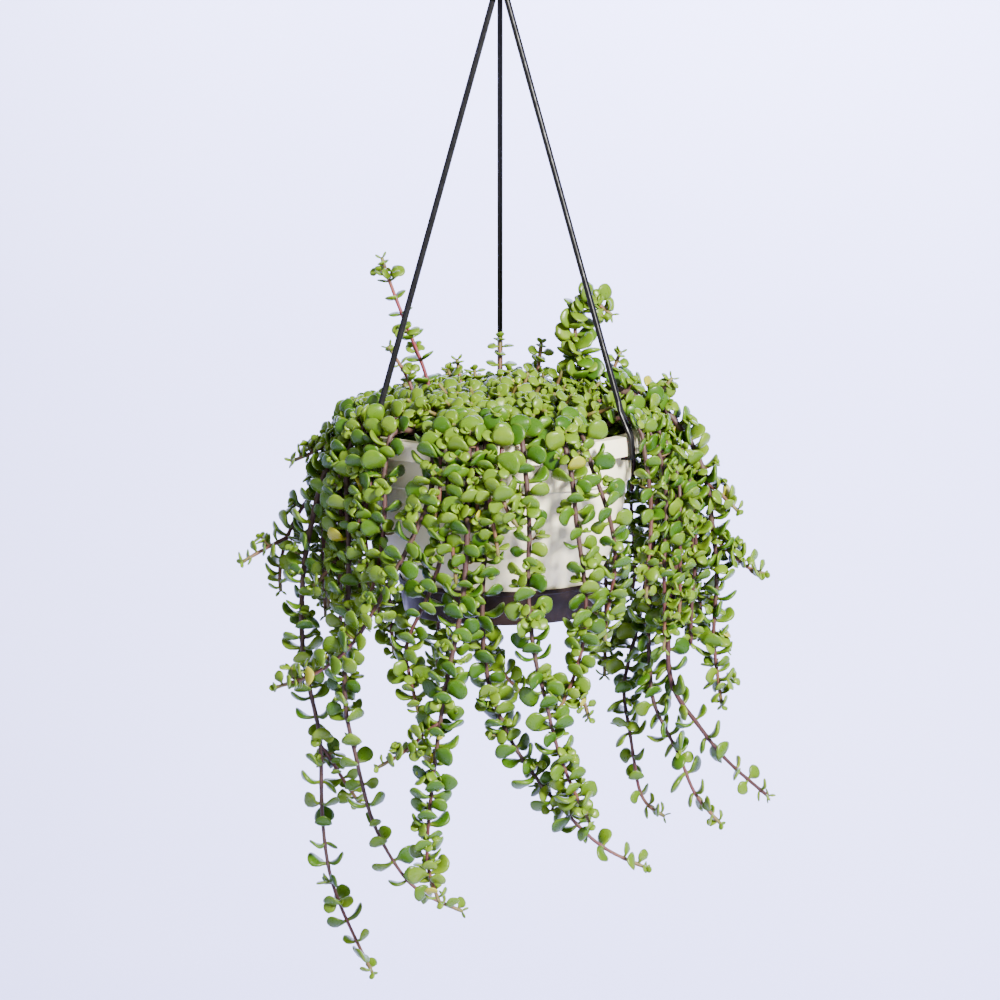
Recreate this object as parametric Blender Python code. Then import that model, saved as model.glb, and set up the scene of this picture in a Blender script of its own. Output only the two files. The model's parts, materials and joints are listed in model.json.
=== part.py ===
"""Potted trailing jade in a hanging pot: pot, saucer, soil, three-arm hanger and the plant's leafy stems.

The scene is in metres. The tables below are in millimetres, measured from the centre of the pot's rim,
with -Y towards the viewer. The scene's origin is the seat of the hook, which carries the whole thing.
"""
import math
import random

import bpy
import numpy as np
from mathutils.bvhtree import BVHTree

MM = 0.001
SEED = 20

# Pot, saucer and soil
RIM_DROP = 356.0
RIM_R = 100.0
SKIRT_R = 101.5
SKIRT_H = 13.0
SKIRT_WALL = 1.6
FLANGE = 2.0
COLLAR_R = 91.9
COLLAR_H = 33.5
WALL_TOP_R = 88.7
POT_FOOT_Z = -124.4
POT_FLOOR_Z = -122.0
SAUCER_TOP_R = 71.5
SAUCER_TOP_Z = -103.2
SAUCER_FOOT_R = 67.0
SAUCER_FOOT_Z = -127.3
SOIL_TOP = -12.0
RIB_TURN = 5.0
FIT = 0.35
SIDES = 32
BLACK_PLASTIC = (0.012, 0.012, 0.013)

# Hanger
ARM_AZIMUTHS = {"hanger_arm_back": 90.0, "hanger_arm_left": 210.0, "hanger_arm_right": 330.0}
HUB_Z = 296.0
HUB_R = 11.0
HUB_H = 15.0
ARM_TOP = (3.6, 301.0)
ROD_W, ROD_T = 3.8, 3.2
STRAP_W, STRAP_T = 5.4, 2.4
SOCKET_DEPTH = 14.0
HOOK_WIRE_R = 2.6
HOOK_BEND_R = 13.0
HOOK_SIDES = 8

# Leafy stems
ROOT_DEPTH = 13.0
NODE_H = 2.4
MOST_CUT = 1.1
STEP = 5.0
CLEAR = 9.0
LEAF_T = 2.2
CUP = 0.018
MOST_BEND = math.radians(62)
LEAF_GAP = 0.6
STEM_GAP = 1.8
TRAILING_GAP = 29.5
CROWN_GAP = 17.0
TIP_CLOSER = 0.72

# Each trailing stem: root radius and azimuth, half width at the root, leaf length, and its route
TRAILING = {
    "trailing_stem_01": (72, 172, 2.6, 15, [(-109, -20, -10), (-120, -20, -23), (-130, -21, -61),
        (-135, -21, -84), (-138, -22, -120), (-137, -22, -160), (-131, -22, -188), (-125, -22, -217),
        (-125, -23, -265), (-119, -23, -317), (-101, -24, -361), (-90, -24, -384)]),
    "trailing_stem_02": (70, 200, 2.5, 15, [(-103, -45, -5), (-105, -50, -29), (-103, -54, -84),
        (-106, -54, -140), (-107, -53, -187), (-101, -53, -214), (-95, -53, -242), (-87, -52, -272),
        (-67, -52, -308), (-54, -52, -320), (-26, -51, -332)]),
    "trailing_stem_03": (74, 258, 2.6, 15, [(-21, -105, -4), (-21, -107, -22), (-22, -108, -62),
        (-24, -109, -95), (-31, -110, -136), (-36, -110, -156), (-40, -110, -184), (-45, -108, -223),
        (-50, -105, -274), (-49, -104, -291), (-41, -102, -312)]),
    "trailing_stem_04": (60, 243, 2.4, 15, [(-45, -98, -3), (-44, -99, -13), (-45, -100, -31),
        (-51, -101, -46), (-65, -102, -75), (-82, -101, -106), (-97, -98, -133), (-108, -96, -144),
        (-124, -93, -156), (-152, -88, -166)]),
    "trailing_stem_05": (76, 249, 2.3, 14, [(-33, -103, -2), (-35, -104, -22), (-34, -104, -42),
        (-36, -103, -63), (-46, -99, -97), (-54, -96, -114), (-66, -93, -138), (-62, -92, -154),
        (-55, -92, -183)]),
    "trailing_stem_06": (64, 264, 2.5, 15, [(-9, -104, -2), (-9, -104, -29), (-9, -102, -56),
        (-12, -99, -97), (-11, -97, -143), (-6, -95, -169), (6, -93, -200), (18, -92, -219),
        (33, -91, -239), (49, -90, -257), (70, -88, -278), (100, -85, -292)]),
    "trailing_stem_07": (78, 270, 2.0, 16, [(2, -108, 1), (-1, -114, -14), (-1, -118, -30),
        (4, -120, -42), (12, -120, -51)]),
    "trailing_stem_08": (66, 277, 2.3, 15, [(15, -107, -1), (17, -109, -16), (19, -110, -38),
        (20, -110, -61), (18, -110, -83), (19, -111, -105), (24, -112, -147), (30, -113, -166),
        (38, -114, -202), (50, -112, -233), (61, -108, -256)]),
    "trailing_stem_09": (70, 292, 2.3, 15, [(43, -99, -2), (48, -101, -17), (51, -102, -53),
        (56, -102, -83), (58, -101, -107), (57, -101, -129), (54, -102, -144), (44, -105, -171),
        (38, -106, -180)]),
    "trailing_stem_10": (60, 301, 2.2, 15, [(58, -92, -7), (62, -94, -17), (73, -92, -46),
        (78, -90, -71), (77, -89, -94), (70, -88, -121), (71, -88, -134)]),
    "trailing_stem_11": (72, 225, 2.3, 15, [(-75, -77, -3), (-79, -80, -22), (-77, -82, -45),
        (-80, -82, -73), (-85, -81, -97), (-92, -80, -115)]),
    "trailing_stem_12": (62, 216, 2.2, 14, [(-89, -66, -5), (-92, -68, -27), (-92, -69, -54),
        (-90, -68, -82), (-90, -67, -104)]),
    "trailing_stem_13": (58, 190, 2.2, 14, [(-104, -34, -7), (-110, -36, -21), (-108, -38, -45),
        (-106, -39, -78), (-113, -39, -90), (-129, -38, -105)]),
    "trailing_stem_14": (70, 150, 2.2, 14, [(-104, 40, -9), (-114, 36, -27), (-124, 33, -55),
        (-126, 32, -87), (-127, 31, -128)]),
    "trailing_stem_15": (48, 180, 2.2, 13, [(-104, -3, -2), (-113, -2, -6), (-120, 0, -12),
        (-130, 2, -18), (-146, 4, -24)]),
    "trailing_stem_16": (66, 162, 2.5, 14, [(-108, 12, -10), (-119, 12, -31), (-129, 12, -44),
        (-142, 10, -61), (-149, 8, -75), (-154, 6, -91), (-156, 5, -104), (-154, 5, -116)]),
    "trailing_stem_17": (42, 355, 3.6, 15, [(78, -3, 27), (86, -4, 31), (94, -6, 28), (101, -8, 15),
        (107, -10, 4), (112, -11, -10), (113, -12, -26), (124, -12, -59), (125, -12, -77),
        (121, -12, -108), (117, -12, -148), (120, -12, -183), (137, -12, -205), (157, -12, -232),
        (189, -10, -260)]),
    "trailing_stem_18": (50, 20, 3.0, 15, [(88, 18, 28), (99, 15, 27), (108, 12, 19), (118, 10, 10),
        (127, 9, -2), (136, 8, -13), (141, 8, -26), (146, 8, -40), (149, 8, -73), (153, 10, -95),
        (152, 10, -123), (150, 10, -145), (152, 10, -166), (157, 10, -199)]),
    "trailing_stem_19": (74, 12, 2.5, 15, [(105, 32, -11), (112, 30, -34), (111, 25, -58),
        (108, 18, -82), (106, 12, -109), (104, 6, -145), (106, 4, -172), (106, 2, -193), (114, 0, -209),
        (129, 0, -237), (136, 0, -260), (156, 0, -282)]),
    "trailing_stem_20": (76, 36, 2.4, 15, [(94, 60, -10), (106, 60, -38), (108, 54, -73),
        (106, 48, -101), (102, 42, -129), (96, 37, -157), (87, 32, -190), (91, 31, -212),
        (96, 30, -243), (101, 30, -275), (118, 30, -284)]),
    "trailing_stem_21": (64, 54, 2.3, 14, [(66, 86, -12), (72, 80, -62), (76, 68, -104), (76, 56, -139),
        (75, 47, -185)]),
    "trailing_stem_22": (72, 114, 2.3, 14, [(-43, 97, -12), (-46, 98, -65), (-46, 96, -109),
        (-45, 94, -153), (-46, 92, -205)]),
    "trailing_stem_23": (62, 101, 2.3, 14, [(-20, 106, -13), (-20, 107, -66), (-20, 104, -110),
        (-19, 100, -154), (-2, 90, -187), (21, 83, -210)]),
    "trailing_stem_24": (74, 78, 2.2, 14, [(18, 106, -13), (19, 108, -66), (19, 108, -111),
        (21, 104, -160)]),
    "trailing_stem_25": (64, 132, 2.3, 14, [(-71, 80, -11), (-78, 84, -48), (-81, 86, -92),
        (-80, 83, -145), (-77, 80, -176)]),
    "trailing_stem_26": (78, 136, 2.3, 14, [(-96, 56, -8), (-106, 56, -36), (-111, 54, -73),
        (-107, 54, -115), (-105, 52, -150)]),
    "trailing_stem_27": (66, 66, 2.2, 14, [(45, 95, -12), (56, 97, -65), (63, 94, -108),
        (62, 88, -172)]),
    "trailing_stem_28": (60, 26, 2.3, 14, [(100, 46, -9), (118, 50, -25), (124, 47, -57),
        (125, 43, -93), (120, 37, -146)]),
    "trailing_stem_29": (64, 3, 2.3, 14, [(106, 12, -5), (122, 26, -22), (132, 29, -55), (136, 29, -90),
        (142, 30, -126), (144, 30, -153)]),
}
# Side branches: the stem they grow from, half width, leaf length, and their route
BRANCHES = [
    ("trailing_stem_01", 1.1, 12, [(-124, -24, -218), (-119, -20, -229), (-112, -15, -244),
        (-99, -6, -266)]),
    ("trailing_stem_03", 1.0, 12, [(-40, -110, -185), (-51, -109, -192), (-61, -108, -205),
        (-82, -106, -217)]),
    ("trailing_stem_09", 1.1, 11, [(51, -103, -158), (57, -100, -171), (60, -98, -185)]),
    ("trailing_stem_16", 1.2, 12, [(-151, 6, -79), (-160, 4, -84), (-169, 1, -87), (-180, -2, -94)]),
    ("trailing_stem_17", 1.6, 14, [(112, -11, -12), (120, -7, -26), (129, -4, -36), (136, -2, -60),
        (137, -3, -94), (134, -3, -122), (134, -3, -152)]),
    ("trailing_stem_18", 1.3, 13, [(146, 8, -40), (152, 4, -45), (159, 1, -50), (166, -2, -58)]),
    ("trailing_stem_18", 1.4, 14, [(150, 8, -77), (159, 14, -87), (168, 17, -97), (176, 19, -105),
        (187, 20, -106)]),
]
# Shoots of the crown: root radius and azimuth, half width, leaf length, and their route
TALL = {
    "tall_shoot_left": (44, 166, 1.7, 12, [(-48, 10, 22), (-51, 10, 37), (-56, 10, 49), (-64, 10, 68),
        (-76, 10, 99), (-82, 10, 118)]),
    "tall_shoot_short": (56, 195, 1.5, 12, [(-58, -10, 20), (-61, -8, 33), (-66, -8, 41),
        (-77, -11, 58)]),
    "tall_shoot_right": (50, 8, 1.6, 15, [(56, 12, 20), (58, 12, 31), (53, 12, 52), (51, 12, 72),
        (54, 12, 87), (62, 9, 93), (78, 6, 78)]),
}
CROWN_SHOOTS = 12
CROWN_INNER = (16.0, 26.0, 50.0, 27.0)
CROWN_OUTER = (40.0, 19.0, 84.0, 21.0)
CROWN_LEAF = 12.0


def unit(vector):
    return vector / max(np.linalg.norm(vector), 1e-9)


def polar(radius, azimuth, z):
    angle = math.radians(azimuth)
    return (radius * math.cos(angle), radius * math.sin(angle), z)


# Routes of the stems

def smooth_route(points):
    """Points about STEP apart along a smooth curve through the given ones."""
    p = np.array(points, float)
    p = np.vstack([2 * p[0] - p[1], p, 2 * p[-1] - p[-2]])
    fine = []
    for i in range(1, len(p) - 2):
        a, b, c, d = p[i - 1:i + 3]
        for k in range(12):
            x = k / 12
            fine.append(0.5 * (2 * b + (c - a) * x + (2 * a - 5 * b + 4 * c - d) * x ** 2
                               + (3 * b - a - 3 * c + d) * x ** 3))
    fine.append(p[-2])
    fine = np.array(fine)
    along = np.concatenate([[0], np.cumsum(np.linalg.norm(np.diff(fine, axis=0), axis=1))])
    count = max(5, int(round(along[-1] / STEP)) + 1)
    even = np.linspace(0, along[-1], count)
    return np.column_stack([np.interp(even, along, fine[:, i]) for i in range(3)])


def rooted_route(radius, azimuth, rest):
    """A route that leaves the soil upright and, for a trailing stem, arches over the rim."""
    points = [polar(radius, azimuth, SOIL_TOP - ROOT_DEPTH), polar(radius, azimuth, SOIL_TOP + 3)]
    first = rest[0]
    if math.hypot(first[0], first[1]) < RIM_R:
        points.append(polar(radius + 3, azimuth, SOIL_TOP + 14))
    reach = math.hypot(first[0], first[1])
    if reach > RIM_R:
        ahead = math.degrees(math.atan2(first[1], first[0]))
        turn = (ahead - azimuth + 180) % 360 - 180
        points.append(polar(radius + 0.45 * (92 - radius), azimuth + 0.4 * turn, 6.0))
        points.append(polar(97.0, azimuth + 0.9 * turn, 8.5))
    return smooth_route(points + list(rest))


def crown_route(number):
    root_r, rise, end_r, end_z = CROWN_OUTER if number % 2 else CROWN_INNER
    azimuth = 360.0 * number / CROWN_SHOOTS + 8.0
    points = [polar(root_r, azimuth, SOIL_TOP - ROOT_DEPTH), polar(root_r, azimuth, SOIL_TOP + 3),
              polar(root_r + 0.15 * (end_r - root_r), azimuth + 4, 0.75 * rise),
              polar(root_r + 0.5 * (end_r - root_r), azimuth + 8, rise + 2),
              polar(end_r, azimuth + 14, end_z)]
    return smooth_route(points)


class Stem:
    """One leafy stem or side branch: its centre line, its frame along it and its leaves."""

    def __init__(self, name, line, half, leaf, parent=None, crown=False):
        self.name = name
        self.line = line
        self.half = half
        self.leaf = leaf
        self.parent = parent
        self.crown = crown
        self.nodes = []

    def measure(self):
        self.along = np.concatenate([[0], np.cumsum(np.linalg.norm(np.diff(self.line, axis=0), axis=1))])
        self.length = self.along[-1]
        tangent = np.gradient(self.line, axis=0)
        self.tangent = tangent / np.linalg.norm(tangent, axis=1)[:, None]
        out = unit(self.line[0] * (1, 1, 0))
        if self.parent:
            out = unit(np.cross(self.tangent[0], (0, 0, 1)))
        across = []
        for t in self.tangent:
            out = unit(out - np.dot(out, t) * t)
            across.append(out)
        self.across = np.array(across)

    def at(self, s):
        """Point, tangent and the two directions across the stem at a length along it."""
        p = np.array([np.interp(s, self.along, self.line[:, i]) for i in range(3)])
        t = unit(np.array([np.interp(s, self.along, self.tangent[:, i]) for i in range(3)]))
        u = np.array([np.interp(s, self.along, self.across[:, i]) for i in range(3)])
        u = unit(u - np.dot(u, t) * t)
        v = np.cross(t, u)
        turn = 0.0 if s < ROOT_DEPTH + 4 else 0.35 * math.sin(s / 47.0 + self.half * 9)
        return p, t, u * math.cos(turn) + v * math.sin(turn), v * math.cos(turn) - u * math.sin(turn)

    def width(self, s):
        """Half the diagonal of the stem at a length along it."""
        x = s / self.length
        return self.half * (1 - x) ** 0.7 + 0.95 * x


def outer_radius(z):
    """Outside radius of the pot and saucer at each height."""
    heights = [SAUCER_FOOT_Z, SAUCER_TOP_Z, -80.0, -58.0, -COLLAR_H, -SKIRT_H - 0.1, -SKIRT_H, 0.0]
    radii = [SAUCER_FOOT_R, SAUCER_TOP_R, 79.6, 85.6, COLLAR_R, COLLAR_R, SKIRT_R, SKIRT_R]
    return np.where(z > SAUCER_FOOT_Z, np.interp(z, heights, radii), 0.0)


def arm_line(azimuth):
    """Points of one hanger arm's centre line, from the hub to the foot under the rim."""
    return [polar(r, azimuth, z) for r, z in (
        ARM_TOP, (93.0, 24.0), (95.0, 17.0), (103.2, 0.0), (104.0, -12.0), (103.6, -14.4), (96.5, -14.7))]


def bend_clear(stems):
    """Moves the stems' centre lines apart where they come too close to one another or to the pot."""
    owner = np.concatenate([np.full(len(stem.line), i) for i, stem in enumerate(stems)])
    place = np.concatenate([np.arange(len(stem.line)) for stem in stems])
    home = np.vstack([stem.line for stem in stems])
    starts = np.concatenate([[0], np.cumsum([len(stem.line) for stem in stems])])
    parent = np.array([-1 if stem.parent is None else stems.index(stem.parent) for stem in stems])
    fixed = (place < 4) & (parent[owner] < 0)
    apart = owner[:, None] != owner[None]
    young = (parent[owner] >= 0) & (place < 4)
    kin = (parent[owner][:, None] == owner[None]) & young[:, None]
    apart &= ~(kin | kin.T)
    arms = np.vstack([smooth_route(arm_line(azimuth)) for azimuth in ARM_AZIMUTHS.values()])
    p = home.copy()
    for _ in range(60):
        gap = p[:, None] - p[None]
        far = np.linalg.norm(gap, axis=2) + 1e-6
        near = apart & (far < CLEAR)
        push = (np.where(near, (CLEAR - far) / far, 0)[:, :, None] * gap).sum(axis=1) * 0.35
        gap = p[:, None] - arms[None]
        far = np.linalg.norm(gap, axis=2) + 1e-6
        push += (np.where(far < 8.0, (8.0 - far) / far, 0)[:, :, None] * gap).sum(axis=1) * 0.3
        inner = np.ones(len(p), bool)
        inner[starts[:-1]] = False
        inner[starts[1:] - 1] = False
        pull = np.zeros_like(p)
        pull[inner] = 0.5 * (p[np.flatnonzero(inner) - 1] + p[np.flatnonzero(inner) + 1]) - p[inner]
        step = np.clip(push, -1.5, 1.5) + 0.3 * pull + 0.04 * (home - p)
        p = np.where(fixed[:, None], p, p + step)
        p = np.array([q if f else off_the_pot(q) for q, f in zip(p, fixed)])
        for i, stem in enumerate(stems):
            if parent[i] >= 0:
                line = p[starts[parent[i]]:starts[parent[i] + 1]]
                p[starts[i]] = line[np.argmin(np.linalg.norm(line - home[starts[i]], axis=1))]
    for i, stem in enumerate(stems):
        stem.line = p[starts[i]:starts[i + 1]]


def off_the_pot(point):
    """The point moved out of the pot's wall and rim, with room for a stem."""
    r, z = math.hypot(point[0], point[1]), point[2]
    if r < 1:
        return point
    new_r, new_z = r, z
    if r < 86:
        if z > SOIL_TOP + 4:
            new_z = max(z, SOIL_TOP + 8)
    elif z > -2 and r < 103:
        new_z = max(z, 6.5)
    corner = math.hypot(r - RIM_R, z + 1)
    if corner < 7.5 and r > 90:
        new_r, new_z = RIM_R + (r - RIM_R) * 7.5 / corner, -1 + (z + 1) * 7.5 / corner
    elif z < 0 and r > 86:
        new_r = max(r, float(outer_radius(z)) + 5.5)
    return np.array([point[0] * new_r / r, point[1] * new_r / r, new_z])


# Leaves

class Leaf:
    """One blade: a short neck that leaves the stem square to it, then a round cupped disc."""

    def __init__(self, origin, out, wide, tip, length, bend, twist, swing):
        out, wide = (out * math.cos(swing) + wide * math.sin(swing),
                     wide * math.cos(swing) - out * math.sin(swing))
        self.origin, self.length = origin, length
        self.frames = []
        point = origin.copy()
        steps = 12
        for i in range(steps + 1):
            x = i / steps
            angle = bend * (1 - (1 - x) ** 2)
            ahead = out * math.cos(angle) - tip * math.sin(angle)
            face = tip * math.cos(angle) + out * math.sin(angle)
            roll = twist * min(1.0, x / 0.4)
            side = wide * math.cos(roll) + face * math.sin(roll)
            face = face * math.cos(roll) - wide * math.sin(roll)
            self.frames.append((point.copy(), ahead, side, face))
            point = point + ahead * (length / steps)

    def at(self, x, across=0.0, lift=0.0):
        """The point at a share of the length, so far to the side and above the middle surface."""
        f = min(max(x, 0.0), 0.9999) * 12
        a, b = self.frames[int(f)], self.frames[int(f) + 1]
        k = f - int(f)
        point, side, face = (a[i] * (1 - k) + b[i] * k for i in (0, 2, 3))
        cup = CUP * across ** 2 * min(1.0, max(0.0, (x - 0.3) / 0.3))
        return point + side * across + face * (lift + cup)

    def rim(self, grow=0.0):
        """Corners of the blade's outline, from one side of the neck round the tip to the other."""
        half = 0.45 * self.length
        more = grow / self.length
        corners = ((0.34, -0.74), (0.66, -1.0), (0.95, -0.5), (0.95, 0.5), (0.66, 1.0), (0.34, 0.74))
        return [self.at(x + more * (1 if x > 0.5 else -1), w * (half + grow)) for x, w in corners]

    def crown(self, grow=0.0):
        """The highest point of the blade's swollen upper face, one thickness above its outline."""
        thick = LEAF_T * min(1.0, self.length / 13.0) + grow
        return sum(self.rim()) / 6 + self.frames[7][3] * thick

    def shell(self, grow=0.0):
        """The blade as points and triangles, for telling whether it meets another."""
        points = self.rim(grow) + [self.crown(grow), self.at(0.62, 0.0, -grow)]
        points += [self.at(0.0, -1.2 - grow), self.at(0.0, 1.2 + grow)]
        faces = [(i, i + 1, 6) for i in range(5)] + [(i + 1, i, 7) for i in range(5)]
        faces += [(5, 9, 6), (9, 8, 6), (8, 0, 6), (9, 5, 7), (8, 9, 7), (0, 8, 7)]
        return [tuple(p) for p in points], faces

    def probes(self):
        """Points spread over the blade and its neck, for telling how near it comes to other things."""
        rim = self.rim()
        middle, top = self.at(0.62), self.crown()
        between = [0.5 * (rim[i] + rim[i - 1]) for i in range(6)]
        spread = [k * p + (1 - k) * q for p in rim for q in (middle, top) for k in (0.35, 0.7)]
        neck = [self.at(x) for x in (0.08, 0.2, 0.35)]
        return np.array(rim + between + spread + neck + [middle, top])


def turned_to_light(origin, out, wide, tip, crown):
    """The bend and twist with which a blade faces the light and the outside best."""
    away = unit(origin * (1, 1, 0))
    light = unit(away * (0.35 if crown else 0.75) + np.array((0, 0, 0.9 if crown else 0.65)))
    level = math.sqrt(max(0.0, 1 - tip[2] ** 2))
    best = None
    for bend in range(-60, 73, 12):
        for twist in range(-54, 55, 18):
            if abs(twist) > 8 + 50 * level:
                continue
            b, k = math.radians(bend), math.radians(twist)
            ahead = out * math.cos(b) - tip * math.sin(b)
            face = tip * math.cos(b) + out * math.sin(b)
            face = face * math.cos(k) - wide * math.sin(k)
            score = np.dot(face, light) + np.dot(ahead, away * 0.25 + np.array((0, 0, 0.55)))
            score -= 0.003 * abs(bend) + 0.004 * abs(twist)
            if best is None or score > best[0]:
                best = (score, b, k)
    return best[1], best[2]


def meets_pot(points):
    """Whether a blade comes into the pot, the saucer, the soil or a hanger arm."""
    r = np.hypot(points[:, 0], points[:, 1])
    z = points[:, 2]
    if np.any((z < SOIL_TOP + 1.2) & (r < 91) & (z > SAUCER_FOOT_Z)):
        return True
    if np.any((z < 1.2) & (r > 88) & (r < SKIRT_R + 1.7) & (z > -SKIRT_H - 1.5)):
        return True
    if np.any((z < -SKIRT_H) & (r < outer_radius(z) + 1.4)):
        return True
    for azimuth in ARM_AZIMUTHS.values():
        line = np.array(arm_line(azimuth))
        for a, b in zip(line[:-1], line[1:]):
            if np.any(from_segments(points, a[None], b[None])[:, 0] < 4.2):
                return True
    return False


def from_segments(points, a, b):
    """Distance of each point from each line segment."""
    d = b - a
    k = np.einsum("pnk,nk->pn", points[:, None] - a[None], d) / np.maximum((d * d).sum(axis=1), 1e-9)
    nearest = a[None] + np.clip(k, 0, 1)[:, :, None] * d[None]
    return np.linalg.norm(points[:, None] - nearest, axis=2)


def place_leaves(stems):
    """Sets opposite pairs of blades along each stem, each square to the last, none touching another."""
    ends_a = np.vstack([stem.line[:-1] for stem in stems])
    ends_b = np.vstack([stem.line[1:] for stem in stems])
    owner = np.concatenate([np.full(len(stem.line) - 1, i) for i, stem in enumerate(stems)])
    along = np.concatenate([stem.along[:-1] for stem in stems])
    width = np.concatenate([[stem.width(s) for s in stem.along[:-1]] for stem in stems])
    segments = (ends_a, ends_b, owner, along, width)
    placed = []
    centres = []
    for number, stem in enumerate(stems):
        rng = random.Random(SEED * 1000 + number)
        for count, s in enumerate(pair_places(stem, rng)):
            sides = [None, None]
            for which in (0, 1):
                side = (count % 2) + 2 * which
                leaf = fitted_leaf(stem, s, side, rng, number, segments, placed, centres)
                if leaf is not None:
                    placed.append(BVHTree.FromPolygons(*leaf.shell()))
                    centres.append(leaf.at(0.6))
                sides[which] = leaf
            stem.nodes.append((s, count % 2, sides))


def pair_places(stem, rng):
    """Lengths along the stem at which its pairs of blades grow."""
    s = 8.0 if stem.parent else ROOT_DEPTH + 13.0
    spots = []
    while s < stem.length - 2.0:
        spots.append(s)
        left = stem.length - s
        gap = CROWN_GAP if stem.crown else TRAILING_GAP
        if left < 45:
            gap *= TIP_CLOSER
        s += gap * rng.uniform(0.9, 1.1)
    return spots


def side_frame(stem, s, side):
    """Middle of one side of the stem with the directions out of it, across it and along the stem."""
    p, t, u, v = stem.at(s)
    out = (v, -u, -v, u)[side]
    wide = np.cross(t, out)
    return p + out * stem.width(s) * math.sqrt(0.5), out, wide, t


# Tries for a blade: share of its size, degrees of extra bend, degrees of swing to the side
TRIES = ((1, 0, 0), (1, -15, 0), (1, 0, 25), (1, 0, -25), (0.85, 12, 0), (0.85, -20, 28),
         (0.85, -20, -28), (0.7, 10, 0), (0.7, 0, 32), (0.7, 0, -32))


def fitted_leaf(stem, s, side, rng, number, segments, placed, centres):
    """A blade for this side of the stem that touches nothing, or None where there is no room."""
    ends_a, ends_b, owner, along, width = segments
    origin, out, wide, tip = side_frame(stem, s, side)
    size = stem.leaf * (0.55 + 0.45 * min(1.0, (stem.length - s) / 55.0)) * rng.uniform(0.88, 1.1)
    jitter = [rng.gauss(0, 1) for _ in range(3)]
    inward = -np.dot(out, unit(origin * (1, 1, 0)))
    hidden = inward > 0.6 and SAUCER_FOOT_Z < origin[2] < -SKIRT_H
    if hidden or (out[2] < -0.55 and abs(tip[2]) < 0.6):
        return None
    bend, twist = turned_to_light(origin, out, wide, tip, stem.crown or origin[2] > 2)
    foreign = (owner != number) | (np.abs(along - s) > 8.0)
    for scale, more_bend, swing in TRIES:
        leaf = Leaf(origin, out, wide, tip, size * scale,
                    min(bend + math.radians(more_bend + 6 * jitter[0]), MOST_BEND),
                    twist + math.radians(6 * jitter[1]), math.radians(swing + 7 * jitter[2]))
        probes = leaf.probes()
        if meets_pot(probes):
            continue
        near = foreign & (np.linalg.norm(ends_a - leaf.at(0.6), axis=1) < 16)
        if near.any():
            room = from_segments(probes, ends_a[near], ends_b[near]) - width[near][None]
            if room.min() < STEM_GAP:
                continue
        shell = BVHTree.FromPolygons(*leaf.shell(LEAF_GAP))
        centre = leaf.at(0.6)
        if any(np.abs(c - centre).max() < 18 and shell.overlap(b) for c, b in zip(centres, placed)):
            continue
        return leaf
    return None


# Solids

def material(name, colour, roughness, metallic=0.0):
    made = bpy.data.materials.new(name)
    made.use_nodes = True
    shader = made.node_tree.nodes["Principled BSDF"]
    shader.inputs["Base Color"].default_value = (*colour, 1)
    shader.inputs["Roughness"].default_value = roughness
    shader.inputs["Metallic"].default_value = metallic
    return made


def add_solid(name, points, faces, made):
    mesh = bpy.data.meshes.new(name)
    mesh.from_pydata([(x * MM, y * MM, (z - RIM_DROP) * MM) for x, y, z in points], [], faces)
    mesh.materials.append(made)
    solid = bpy.data.objects.new(name, mesh)
    bpy.context.scene.collection.objects.link(solid)
    return solid


def turned(profile, sides=SIDES):
    """A closed solid of revolution: its profile runs up the outside and down the inside, axis to axis."""
    points, faces, rings = [], [], []
    for r, z in profile:
        if r == 0:
            rings.append([len(points)])
            points.append((0.0, 0.0, z))
            continue
        rings.append(list(range(len(points), len(points) + sides)))
        points += [polar(r, 360.0 * i / sides, z) for i in range(sides)]
    for a, b in zip(rings[:-1], rings[1:]):
        for i in range(sides):
            j = (i + 1) % sides
            if len(a) == 1:
                faces.append((a[0], b[j], b[i]))
            elif len(b) == 1:
                faces.append((a[i], a[j], b[0]))
            else:
                faces.append((a[i], a[j], b[j], b[i]))
    return points, faces


def swept(rings):
    """A closed solid through rings of equal count, each listed counter-clockwise about the way ahead."""
    points, faces = [], []
    n = len(rings[0])
    for ring in rings:
        points += [tuple(p) for p in ring]
    for i in range(len(rings) - 1):
        for k in range(n):
            a, b = i * n + k, i * n + (k + 1) % n
            faces.append((a, b, b + n, a + n))
    faces.append(tuple(reversed(range(n))))
    faces.append(tuple(range(len(points) - n, len(points))))
    return points, faces


def apply_boolean(solid, cutters, operation, solver):
    """Joins or cuts a solid with others in one step, then removes them."""
    group = bpy.data.collections.new(solid.name + "_tools")
    bpy.context.scene.collection.children.link(group)
    for cutter in cutters:
        for user in list(cutter.users_collection):
            user.objects.unlink(cutter)
        group.objects.link(cutter)
    step = solid.modifiers.new("joined", "BOOLEAN")
    step.operand_type = "COLLECTION"
    step.collection = group
    step.operation = operation
    step.solver = solver
    bpy.context.view_layer.update()
    result = bpy.data.meshes.new_from_object(solid.evaluated_get(bpy.context.evaluated_depsgraph_get()))
    solid.modifiers.clear()
    solid.data = result
    for cutter in cutters:
        bpy.data.objects.remove(cutter)
    bpy.data.collections.remove(group)


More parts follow.
